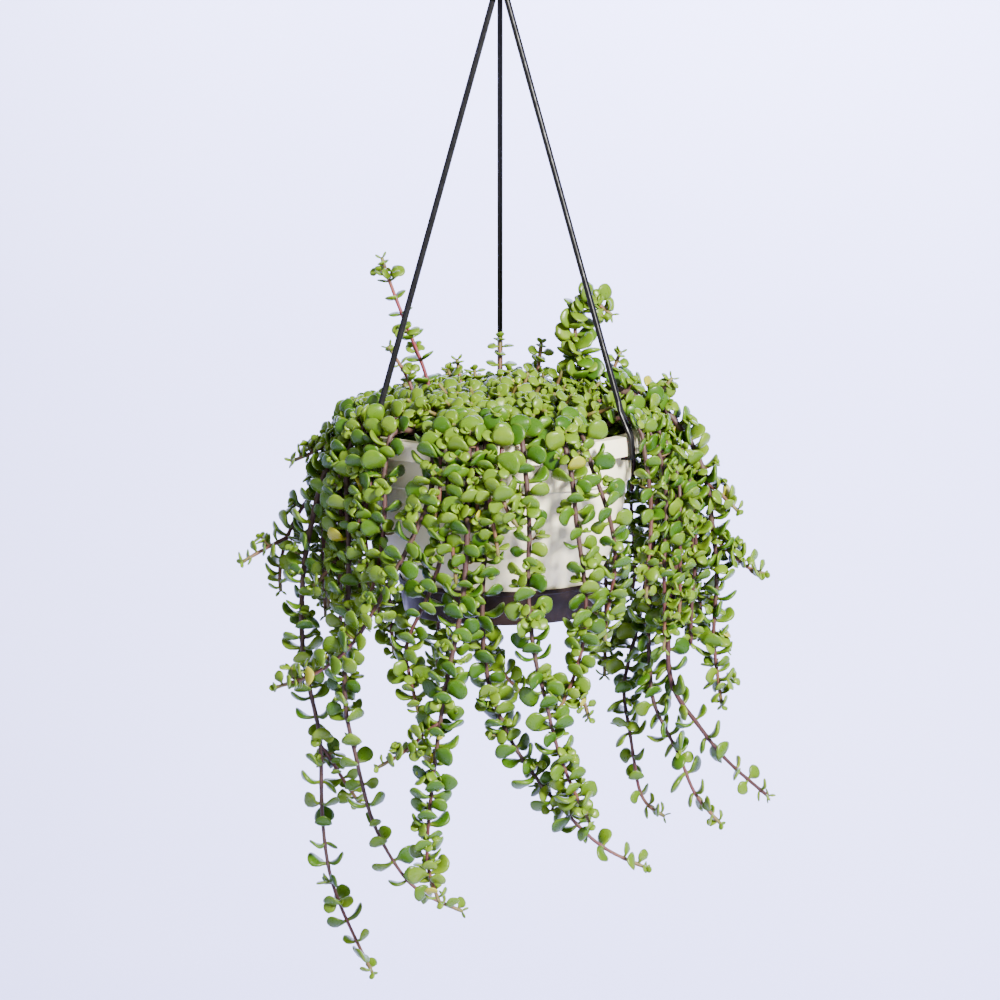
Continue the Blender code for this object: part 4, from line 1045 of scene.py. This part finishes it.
def make_piece(name, gather, *materials):
    """The mesh of one piece, smooth, in metres, with its growth values for the materials."""
    points = np.vstack(gather.points) * MM
    points[:, 2] -= RIM_DROP * MM
    piece = surface(name, points.tolist(), np.vstack(gather.faces).tolist(), *materials)
    growth = piece.data.attributes.new("growth", "FLOAT_COLOR", "POINT")
    growth.data.foreach_set("color", np.vstack(gather.growth).astype(np.float32).ravel())
    piece.data.polygons.foreach_set("material_index", np.concatenate(gather.kinds).astype(np.int32))
    return piece


def dress_stem(gather, stem, rng):
    """The fine stem with all its blades."""
    add_fine_stem(gather, stem, rng, THICK_SIDES if stem.half > THICK_HALF else THIN_SIDES)
    for s, _, sides in stem.nodes:
        age = min(1.0, (stem.length - s) / 120.0)
        for leaf in sides:
            if leaf is not None:
                add_fine_blade(gather, leaf, rng, age * rng.uniform(0.7, 1.0))
    for leaf in bud(stem):
        add_fine_blade(gather, leaf, rng, 0.0)


# Materials

def blank(name, roughness):
    made = bpy.data.materials.new(name)
    made.use_nodes = True
    shader = made.node_tree.nodes["Principled BSDF"]
    shader.inputs["Roughness"].default_value = roughness
    return made, made.node_tree, shader


def ramp_node(tree, source, *stops):
    """A colour that runs through the stops as the source goes from 0 to 1."""
    node = tree.nodes.new("ShaderNodeValToRGB")
    while len(node.color_ramp.elements) < len(stops):
        node.color_ramp.elements.new(0.5)
    for element, (place, colour) in zip(node.color_ramp.elements, stops):
        element.position = place
        element.color = (*colour, 1)
    tree.links.new(source, node.inputs["Fac"])
    return node.outputs["Color"]


def mixed(tree, share, a, b):
    """Two colours mixed by a share that comes from another node."""
    node = tree.nodes.new("ShaderNodeMix")
    node.data_type = "RGBA"
    tree.links.new(share, node.inputs["Factor"])
    for socket, value in ((node.inputs[6], a), (node.inputs[7], b)):
        if isinstance(value, tuple):
            socket.default_value = (*value, 1)
        else:
            tree.links.new(value, socket)
    return node.outputs[2]


def ranged(tree, source, low, high, to_low=0.0, to_high=1.0):
    """The source stretched from one range to another."""
    node = tree.nodes.new("ShaderNodeMapRange")
    tree.links.new(source, node.inputs["Value"])
    for name, value in (("From Min", low), ("From Max", high), ("To Min", to_low), ("To Max", to_high)):
        node.inputs[name].default_value = value
    return node.outputs["Result"]


def noise(tree, scale, detail=3.0, roughness=0.5):
    place = tree.nodes.new("ShaderNodeTexCoord")
    node = tree.nodes.new("ShaderNodeTexNoise")
    node.inputs["Scale"].default_value = scale
    node.inputs["Detail"].default_value = detail
    node.inputs["Roughness"].default_value = roughness
    tree.links.new(place.outputs["Object"], node.inputs["Vector"])
    return node.outputs["Fac"]


def finished(made, tree, shader, colour, bump, rough=None):
    """Joins a material's colour, its bump (noise, strength, distance) and the noise and range of its
    roughness to the shader."""
    tree.links.new(colour, shader.inputs["Base Color"])
    *grain, strength, distance = bump
    node = tree.nodes.new("ShaderNodeBump")
    node.inputs["Strength"].default_value = strength
    node.inputs["Distance"].default_value = distance
    tree.links.new(noise(tree, *grain), node.inputs["Height"])
    tree.links.new(node.outputs["Normal"], shader.inputs["Normal"])
    if rough:
        *grain, low, high = rough
        tree.links.new(ranged(tree, noise(tree, *grain), 0.3, 0.7, low, high), shader.inputs["Roughness"])
    return made


def growth_values(tree):
    """The four growth values of each point."""
    node = tree.nodes.new("ShaderNodeAttribute")
    node.attribute_name = "growth"
    split = tree.nodes.new("ShaderNodeSeparateColor")
    tree.links.new(node.outputs["Color"], split.inputs["Color"])
    return split.outputs["Red"], split.outputs["Green"], split.outputs["Blue"], node.outputs["Alpha"]


def leaf_skin():
    """Green by each blade's tone, yellower where young, at the margin and at the neck; few are faded."""
    made, tree, shader = blank("leaf_skin", 0.36)
    tone, edge, age, along = growth_values(tree)
    base = ramp_node(tree, tone, (0.0, (0.021, 0.067, 0.002)), (0.35, (0.040, 0.103, 0.003)),
                     (0.7, (0.071, 0.142, 0.004)), (1.0, (0.116, 0.185, 0.009)))
    young = mixed(tree, ranged(tree, age, 0.0, 0.45, 0.7, 0.0), base, (0.129, 0.206, 0.009))
    rimmed = mixed(tree, ranged(tree, edge, 0.35, 1.0, 0.0, 0.45), young, (0.155, 0.228, 0.022))
    neck = mixed(tree, ranged(tree, along, 0.0, 0.3, 0.5, 0.0), rimmed, (0.163, 0.198, 0.022))
    clouds = ranged(tree, noise(tree, 160.0), 0.35, 0.7, 0.0, 0.35)
    clouded = mixed(tree, clouds, neck, (0.029, 0.095, 0.005))
    faded = mixed(tree, ranged(tree, tone, 0.993, 0.995), clouded, (0.267, 0.267, 0.013))
    shader.inputs["Subsurface Weight"].default_value = 0.12
    shader.inputs["Subsurface Radius"].default_value = (0.5, 1.0, 0.2)
    shader.inputs["Subsurface Scale"].default_value = 0.003
    shader.inputs["Specular IOR Level"].default_value = 0.26
    return finished(made, tree, shader, faded, (900.0, 2.0, 0.2, 0.0003), (420.0, 0.24, 0.40))


def stem_bark(name, young, grown, old):
    """Green at the tip, then the three colours as the stem gets older, with paler spots and joints."""
    made, tree, shader = blank(name, 0.6)
    near, left, _, _ = growth_values(tree)
    base = ramp_node(tree, left, (0.0, (0.13, 0.15, 0.02)), (0.12, young), (0.35, grown), (1.0, old))
    spots = ranged(tree, noise(tree, 500.0, 5.0, 0.7), 0.4, 0.68, 0.0, 0.7)
    spotted = mixed(tree, spots, base, (0.070, 0.036, 0.026))
    ringed = mixed(tree, ranged(tree, near, 0.3, 1.0, 0.0, 0.5), spotted, (0.075, 0.055, 0.020))
    return finished(made, tree, shader, ringed, (800.0, 6.0, 0.7, 0.5, 0.0006), (300.0, 0.45, 0.7))


def woody_bark():
    made, tree, shader = blank("woody_bark", 0.8)
    along = growth_values(tree)[3]
    base = ramp_node(tree, noise(tree, 260.0, 6.0, 0.7), (0.3, (0.020, 0.012, 0.009)),
                     (0.5, (0.060, 0.036, 0.026)), (0.7, (0.12, 0.085, 0.062)))
    young = mixed(tree, ranged(tree, along, 0.12, 0.32), base, (0.048, 0.014, 0.015))
    return finished(made, tree, shader, young, (420.0, 7.0, 0.75, 0.8, 0.0010))


def ivory_plastic():
    made, tree, shader = blank("ivory_plastic_pot", 0.4)
    base = ramp_node(tree, noise(tree, 14.0), (0.3, (0.83, 0.77, 0.55)), (0.7, (0.89, 0.83, 0.61)))
    # Darker tan blotches mixed over the ivory at random
    blotches = ranged(tree, noise(tree, 90.0, 5.0, 0.65), 0.56, 0.75, 0.0, 0.3)
    blotched = mixed(tree, blotches, base, (0.60, 0.50, 0.30))
    shader.inputs["Subsurface Weight"].default_value = 0.08
    shader.inputs["Subsurface Scale"].default_value = 0.003
    return finished(made, tree, shader, blotched, (1400.0, 2.0, 0.08, 0.0003), (60.0, 4.0, 0.36, 0.52))


def brown_plastic():
    made, tree, shader = blank("brown_plastic_saucer", 0.38)
    base = ramp_node(tree, noise(tree, 30.0, 4.0), (0.3, (0.010, 0.005, 0.004)), (0.7, (0.018, 0.009, 0.007)))
    # Lighter brown blotches: a painted reflection of the leaves and their shadows in the glossy saucer, mixed
    # into its colour
    blotches = ranged(tree, noise(tree, 220.0, 6.0, 0.7), 0.52, 0.75, 0.0, 0.4)
    blotched = mixed(tree, blotches, base, (0.045, 0.028, 0.020))
    shader.inputs["Specular IOR Level"].default_value = 0.22
    return finished(made, tree, shader, blotched, (1100.0, 3.0, 0.12, 0.0004), (120.0, 4.0, 0.3, 0.55))


def black_plastic():
    made, tree, shader = blank("black_plastic_hanger", 0.34)
    base = ramp_node(tree, noise(tree, 60.0, 4.0), (0.3, (0.003, 0.003, 0.0035)),
                     (0.7, (0.006, 0.006, 0.007)))
    shader.inputs["Specular IOR Level"].default_value = 0.18
    return finished(made, tree, shader, base, (1500.0, 3.0, 0.15, 0.0003), (200.0, 4.0, 0.26, 0.48))


def black_soil():
    made, tree, shader = blank("black_soil_top", 0.95)
    base = ramp_node(tree, noise(tree, 300.0, 8.0, 0.8), (0.35, (0.010, 0.007, 0.005)),
                     (0.55, (0.035, 0.024, 0.016)), (0.72, (0.13, 0.09, 0.055)))
    return finished(made, tree, shader, base, (420.0, 8.0, 0.8, 1.0, 0.003))


# Pot, saucer, soil and hanger

# Sides of the turned pieces, and rings and sides of the soil's crumbly top
FINE = 144
HUB_SIDES = 48
SOIL_RINGS = 56
SOIL_SIDES = 180
WIRE_SIDES = 16


def turned(profile, sides=FINE):
    """Rings of a solid of revolution through the profile, as points and faces."""
    turn = math.tau * np.arange(sides) / sides
    points, faces, start = [], [], []
    for r, z in profile:
        start.append(len(points))
        if r == 0:
            points.append((0.0, 0.0, z))
        else:
            points += [(r * math.cos(a), r * math.sin(a), z) for a in turn]
    for i in range(len(profile) - 1):
        a, b = start[i], start[i + 1]
        for k in range(sides):
            j = (k + 1) % sides
            if profile[i][0] == 0:
                faces.append((a, b + j, b + k))
            elif profile[i + 1][0] == 0:
                faces.append((a + k, a + j, b))
            else:
                faces.append((a + k, a + j, b + j, b + k))
    return points, faces


def hard_piece(name, points, faces, made, round_edge=0.0):
    """A piece of made plastic, with its edges rounded and its faces smooth."""
    piece = surface(name, [(x * MM, y * MM, (z - RIM_DROP) * MM) for x, y, z in points], faces, made)
    if round_edge:
        step = piece.modifiers.new("rounded", "BEVEL")
        step.width = round_edge * MM
        step.segments = 3
        step.limit_method = "ANGLE"
        step.angle_limit = math.radians(28)
        step.harden_normals = True
    return piece


def dress_pot():
    profile = [(0, POT_FOOT_Z), (62.6, POT_FOOT_Z), (69.3, -102.5), (74.8, -91.0), (79.6, -80.0),
               (83.0, -69.0), (85.6, -58.0), (87.3, -46.0), (WALL_TOP_R, -COLLAR_H - 0.5),
               (COLLAR_R - 0.7, -COLLAR_H), (COLLAR_R, -FLANGE), (RIM_R - 1.2, -FLANGE),
               (SKIRT_R - SKIRT_WALL, -SKIRT_H),
               (SKIRT_R, -SKIRT_H), (SKIRT_R - 0.4, -6.0), (RIM_R, 0.0)]
    made = ivory_plastic()
    pot = hard_piece("pot_shell", *turned(profile + POT_INNER[::-1] + [(0, POT_FLOOR_Z)]), made, 0.7)
    for azimuth in ARM_AZIMUTHS.values():
        corners = [(90.6, -1.0), (94.6, -1.0), (94.6, 1.0), (90.6, 1.0)]
        rings = [[polar(r, azimuth - RIB_TURN + side, z) for r, side in corners] for z in (-20.0, -1.0)]
        rib = hard_piece("pot_rib_%03d" % azimuth, *swept(rings), made, 0.4)
        rib.parent = pot
    return pot


def dress_saucer():
    profile = [(0, SAUCER_FOOT_Z), (SAUCER_FOOT_R - 6, SAUCER_FOOT_Z), (SAUCER_FOOT_R, SAUCER_FOOT_Z),
               (SAUCER_FOOT_R + 0.6, SAUCER_FOOT_Z + 1.8), (SAUCER_TOP_R - 0.7, SAUCER_TOP_Z - 3.4),
               (SAUCER_TOP_R, SAUCER_TOP_Z - 2.8), (SAUCER_TOP_R, SAUCER_TOP_Z),
               (SAUCER_TOP_R - 1.7, SAUCER_TOP_Z), (SAUCER_FOOT_R - 2.0, POT_FOOT_Z - FIT),
               (0, POT_FOOT_Z - FIT)]
    return hard_piece("saucer_shell", *turned(profile), brown_plastic(), 0.5)


def swept(rings):
    """A closed solid through rings of equal count, each listed counter-clockwise about the way ahead."""
    n = len(rings[0])
    points = [tuple(p) for ring in rings for p in ring]
    faces = [(a, b, b + n, a + n) for i in range(len(rings) - 1)
             for a, b in ((i * n + k, i * n + (k + 1) % n) for k in range(n))]
    return points, faces + [tuple(reversed(range(n))), tuple(range(len(points) - n, len(points)))]


def ways_ahead(line):
    """The direction of a line at each of its points."""
    steps = [unit(b - a) for a, b in zip(line[:-1], line[1:])]
    return [unit(before + after) for before, after in zip(steps[:1] + steps, steps + steps[-1:])]


def dress_soil():
    """The soil with a crumbly top."""
    rng = seeded("soil")
    n = SOIL_SIDES
    points, faces = [], []
    for i in range(1, SOIL_RINGS + 1):
        r = (SOIL_R - FIT) * i / SOIL_RINGS
        for k in range(n):
            angle = math.tau * k / n
            x, y = r * math.cos(angle), r * math.sin(angle)
            lump = math.sin(x * 0.31 + 2) * math.cos(y * 0.27)
            lump += 0.5 * math.sin(x * 0.8) * math.sin(y * 0.9 + 1)
            rough = 0.9 * lump + rng.uniform(-0.9, 0.9)
            points.append((x, y, SOIL_TOP - 0.6 + (0.0 if i == SOIL_RINGS else 0.9 * rough)))
    top, last = len(points), len(points) - n
    points.append((0.0, 0.0, SOIL_TOP))
    for (r, z), rise in zip((POT_INNER[3], POT_INNER[1], POT_INNER[0]), (0, 0, FIT)):
        points += [polar(r - FIT, 360 / n * k, z + rise) for k in range(n)]
    low = top + 1
    for k in range(n):
        j = (k + 1) % n
        faces.append((k, j, top))
        faces += [(i * n + k, (i + 1) * n + k, (i + 1) * n + j, i * n + j) for i in range(SOIL_RINGS - 1)]
    for k in range(n):
        j = (k + 1) % n
        faces += [(a + j, a + k, b + k, b + j)
                  for a, b in ((last, low), (low, low + n), (low + n, low + 2 * n))]
    faces.append(tuple(low + 3 * n - 1 - k for k in range(n)))
    return hard_piece("soil_block", points, faces, black_soil())


def dress_arm(name, azimuth, made):
    """One arm: a rod with a groove on both broad faces, widening to the strap over the rim and its foot."""
    corners = np.array(arm_line(azimuth))
    line = [corners[0], corners[0] + 0.97 * (corners[1] - corners[0])]
    for i in range(1, len(corners) - 1):
        a, b, c = corners[i - 1:i + 2]
        reach = min(2.2, 0.3 * np.linalg.norm(b - a), 0.3 * np.linalg.norm(c - b))
        start, end = b + unit(a - b) * reach, b + unit(c - b) * reach
        for k in range(5):
            x = k / 4
            line.append((1 - x) ** 2 * start + 2 * x * (1 - x) * b + x * x * end)
    line.append(corners[-1])
    line = np.array(line)
    across = np.array(polar(1.0, azimuth + 90, 0.0))
    far = lengths_along(line)
    bend_at = np.linalg.norm(corners[1] - corners[0])
    rings = []
    for p, ahead, so_far in zip(line, ways_ahead(line), far):
        face = np.cross(ahead, across)
        share = share_of((so_far - bend_at) / 6.0)
        width = ROD_W + (STRAP_W - ROD_W) * share
        thick = ROD_T + (STRAP_T - ROD_T) * share
        if far[-1] - so_far < 3.0:
            width, thick = width * 0.9, thick * 0.85
        a, b = width / 2, thick / 2
        groove = 0.5 * b
        section = [(-a + 0.4, -b), (-a * 0.34, -b), (-a * 0.2, -groove), (a * 0.2, -groove), (a * 0.34, -b),
                   (a - 0.4, -b), (a, -b + 0.4), (a, b - 0.4), (a - 0.4, b), (a * 0.34, b), (a * 0.2, groove),
                   (-a * 0.2, groove), (-a * 0.34, b), (-a + 0.4, b), (-a, b - 0.4), (-a, -b + 0.4)]
        rings.append([p + across * x + face * y for x, y in section])
    arm = hard_piece(name + "_grooved", *swept(rings), made)
    smoothed(arm.data, False)
    return arm


def dress_hook(made):
    """The hub that holds the three arms, with the hook above it."""
    profile = [(0, HUB_Z), (HUB_R - 1, HUB_Z), (HUB_R, HUB_Z + 1), (HUB_R, HUB_Z + 0.6 * HUB_H)]
    profile += [(HUB_R * (1 - 0.5 * k / 5), HUB_Z + HUB_H * (0.6 + 0.4 * math.sin(k / 5 * math.pi / 2)))
                for k in range(1, 6)]
    hub = hard_piece("hanger_hub_cap", *turned(profile + [(0, HUB_Z + HUB_H)], HUB_SIDES), made)
    line = [(0, 0, HUB_Z + HUB_H - 4), (0, 0, HUB_Z + HUB_H + 6)]
    bend = HOOK_BEND_R + HOOK_WIRE_R
    for degrees in np.linspace(220, -41, 25):
        angle = math.radians(degrees)
        line.append((bend * math.cos(angle), 0, RIM_DROP - HOOK_BEND_R + bend * math.sin(angle)))
    line = np.array(line)
    side = np.array((0.0, 1.0, 0.0))
    turns = [math.tau * k / WIRE_SIDES for k in range(WIRE_SIDES)]
    rings = [[p + HOOK_WIRE_R * (side * math.cos(a) - np.cross(ahead, side) * math.sin(a)) for a in turns]
             for p, ahead in zip(line, ways_ahead(line))]
    wire = hard_piece("hanger_hook_wire", *swept(rings), made, 0.5)
    wire.parent = hub
    return hub


# Stage, light and camera

# The stage in metres: its near edge, floor, wall, the radius of the sweep between them, and how far it goes
STAGE_NEAR = -2.8
FLOOR_Z = -1.42
WALL_Y = 2.7
SWEEP_R = 0.87
WALL_TOP = 2.35
STAGE_SIDE = 4.35
# Area lamps: place, the point they shine at, size, watts and colour
LAMPS = {
    "key": ((1.3, -1.95, 0.85), (0.0, 0.0, -0.4), 0.42, 345.0, (1.0, 0.96, 0.90)),
    "fill": ((-1.9, -1.5, 0.2), (0.0, 0.0, -0.4), 1.8, 14.0, (0.96, 0.97, 1.0)),
    "wall": ((0.45, 1.32, 1.2), (0.45, 3.93, 0.8), 2.3, 400.0, (0.85, 0.86, 1.0)),
}
SKY = (1.0, 0.98, 0.96, 1)
SKY_STRENGTH = 0.68
# The camera: place, degrees that it looks down, and its lens in sensor widths
CAMERA_PLACE = (0.0, -2.300, -0.071)
CAMERA_DOWN = 8.30
CAMERA_WIDTH = 36.0
CAMERA_LENS = 3.33


def backdrop():
    """A pale floor that sweeps up into the wall behind."""
    sweep = [(WALL_Y + SWEEP_R * (math.sin(a) - 1), FLOOR_Z + SWEEP_R * (1 - math.cos(a)))
             for a in np.linspace(0.1, math.pi / 2, 14)]
    profile = [(STAGE_NEAR, FLOOR_Z), (WALL_Y - SWEEP_R, FLOOR_Z), *sweep, (WALL_Y, WALL_TOP)]
    points = [(x, y, z) for y, z in profile for x in (-STAGE_SIDE, STAGE_SIDE)]
    faces = [(2 * i, 2 * i + 1, 2 * i + 3, 2 * i + 2) for i in range(len(profile) - 1)]
    made, tree, shader = blank("pale_floor", 0.9)
    base = ramp_node(tree, noise(tree, 2.0, 2.0), (0.3, (0.59, 0.60, 0.95)), (0.7, (0.62, 0.63, 0.97)))
    tree.links.new(base, shader.inputs["Base Color"])
    floor = surface("floor", points, faces, made)


def light_and_camera():
    world = bpy.data.worlds.new("soft")
    world.use_nodes = True
    back = world.node_tree.nodes["Background"]
    back.inputs["Color"].default_value = SKY
    back.inputs["Strength"].default_value = SKY_STRENGTH
    bpy.context.scene.world = world
    for name, (place, aim, size, power, colour) in LAMPS.items():
        data = bpy.data.lights.new(name, "AREA")
        data.size = size
        data.energy = power
        data.color = colour
        light = placed(name, data)
        light.location = place
        light.rotation_euler = (Vector(aim) - Vector(place)).to_track_quat("-Z", "Y").to_euler()
    data = bpy.data.cameras.new("camera")
    data.sensor_width = CAMERA_WIDTH
    data.lens = CAMERA_WIDTH * CAMERA_LENS
    camera = placed("camera", data)
    camera.location = CAMERA_PLACE
    camera.rotation_euler = (math.radians(90 - CAMERA_DOWN), 0.0, 0.0)
    bpy.context.scene.camera = camera


# The whole thing

QUARTERS = ("right", "back", "left", "front")
MIDDLE_R = 45


def dress_plant():
    """Every leafy stem of the model as a fine piece, then the added sprigs and strands by sector."""
    stems = model_stems()
    bend_clear(stems)
    thicket = Thicket(stems)
    model_leaves(stems, thicket)
    fill_between(stems, thicket)
    strands = hanging_strands(stems)
    strand_leaves(strands, thicket, len(stems))
    sprigs = crown_sprigs(thicket)
    side = side_sprigs(stems + strands, thicket)
    leaf, wood = leaf_skin(), woody_bark()
    bark = stem_bark("stem_bark", (0.16, 0.070, 0.026), (0.10, 0.020, 0.024), (0.044, 0.015, 0.017))
    red = stem_bark("red_bark", (0.20, 0.080, 0.020), (0.22, 0.012, 0.030), (0.14, 0.006, 0.020))
    barks = {"trailing_stem_17": wood, "tall_shoot_left": red}
    for number, stem in enumerate(stems):
        if stem.parent:
            continue
        gather = Gather()
        rng = seeded("stem", number)
        family = [stem] + [other for other in stems + side if other.parent is stem]
        family += [other for other in side if other.parent in family[1:]]
        for member in family:
            dress_stem(gather, member, rng)
        piece = make_piece(stem.name + "_fine", gather, leaf, barks.get(stem.name, bark))
        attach(piece, "root")
        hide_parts(stem.name)
    sectors = {}
    for stem in sprigs + strands:
        x, y, _ = stem.line[-1]
        quarter = int(((math.degrees(math.atan2(y, x)) + 45) % 360) // 90)
        where = "middle" if math.hypot(x, y) < MIDDLE_R else QUARTERS[quarter]
        family = [stem] + [other for other in side if other.parent is stem]
        sectors.setdefault(stem.name + "_" + where, []).extend(family)
    for name, members in sectors.items():
        gather = Gather()
        rng = seeded("sector", len(members))
        for member in members:
            dress_stem(gather, member, rng)
        piece = make_piece(name, gather, leaf, bark)
        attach(piece, "root")


def main():
    dress_plant()
    black = black_plastic()
    for piece, node, slot in ((dress_pot(), "pot", "ivory_plastic"),
                              (dress_saucer(), "saucer", "brown_plastic"),
                              (dress_soil(), "soil", "black_soil"),
                              (dress_hook(black), "hanger_hook", "hanger_hook_black")):
        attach(piece, "root")
        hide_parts(node)
    for name, azimuth in ARM_AZIMUTHS.items():
        arm = dress_arm(name, azimuth, black)
        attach(arm, "root")
        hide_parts(name)
    backdrop()
    light_and_camera()


main()
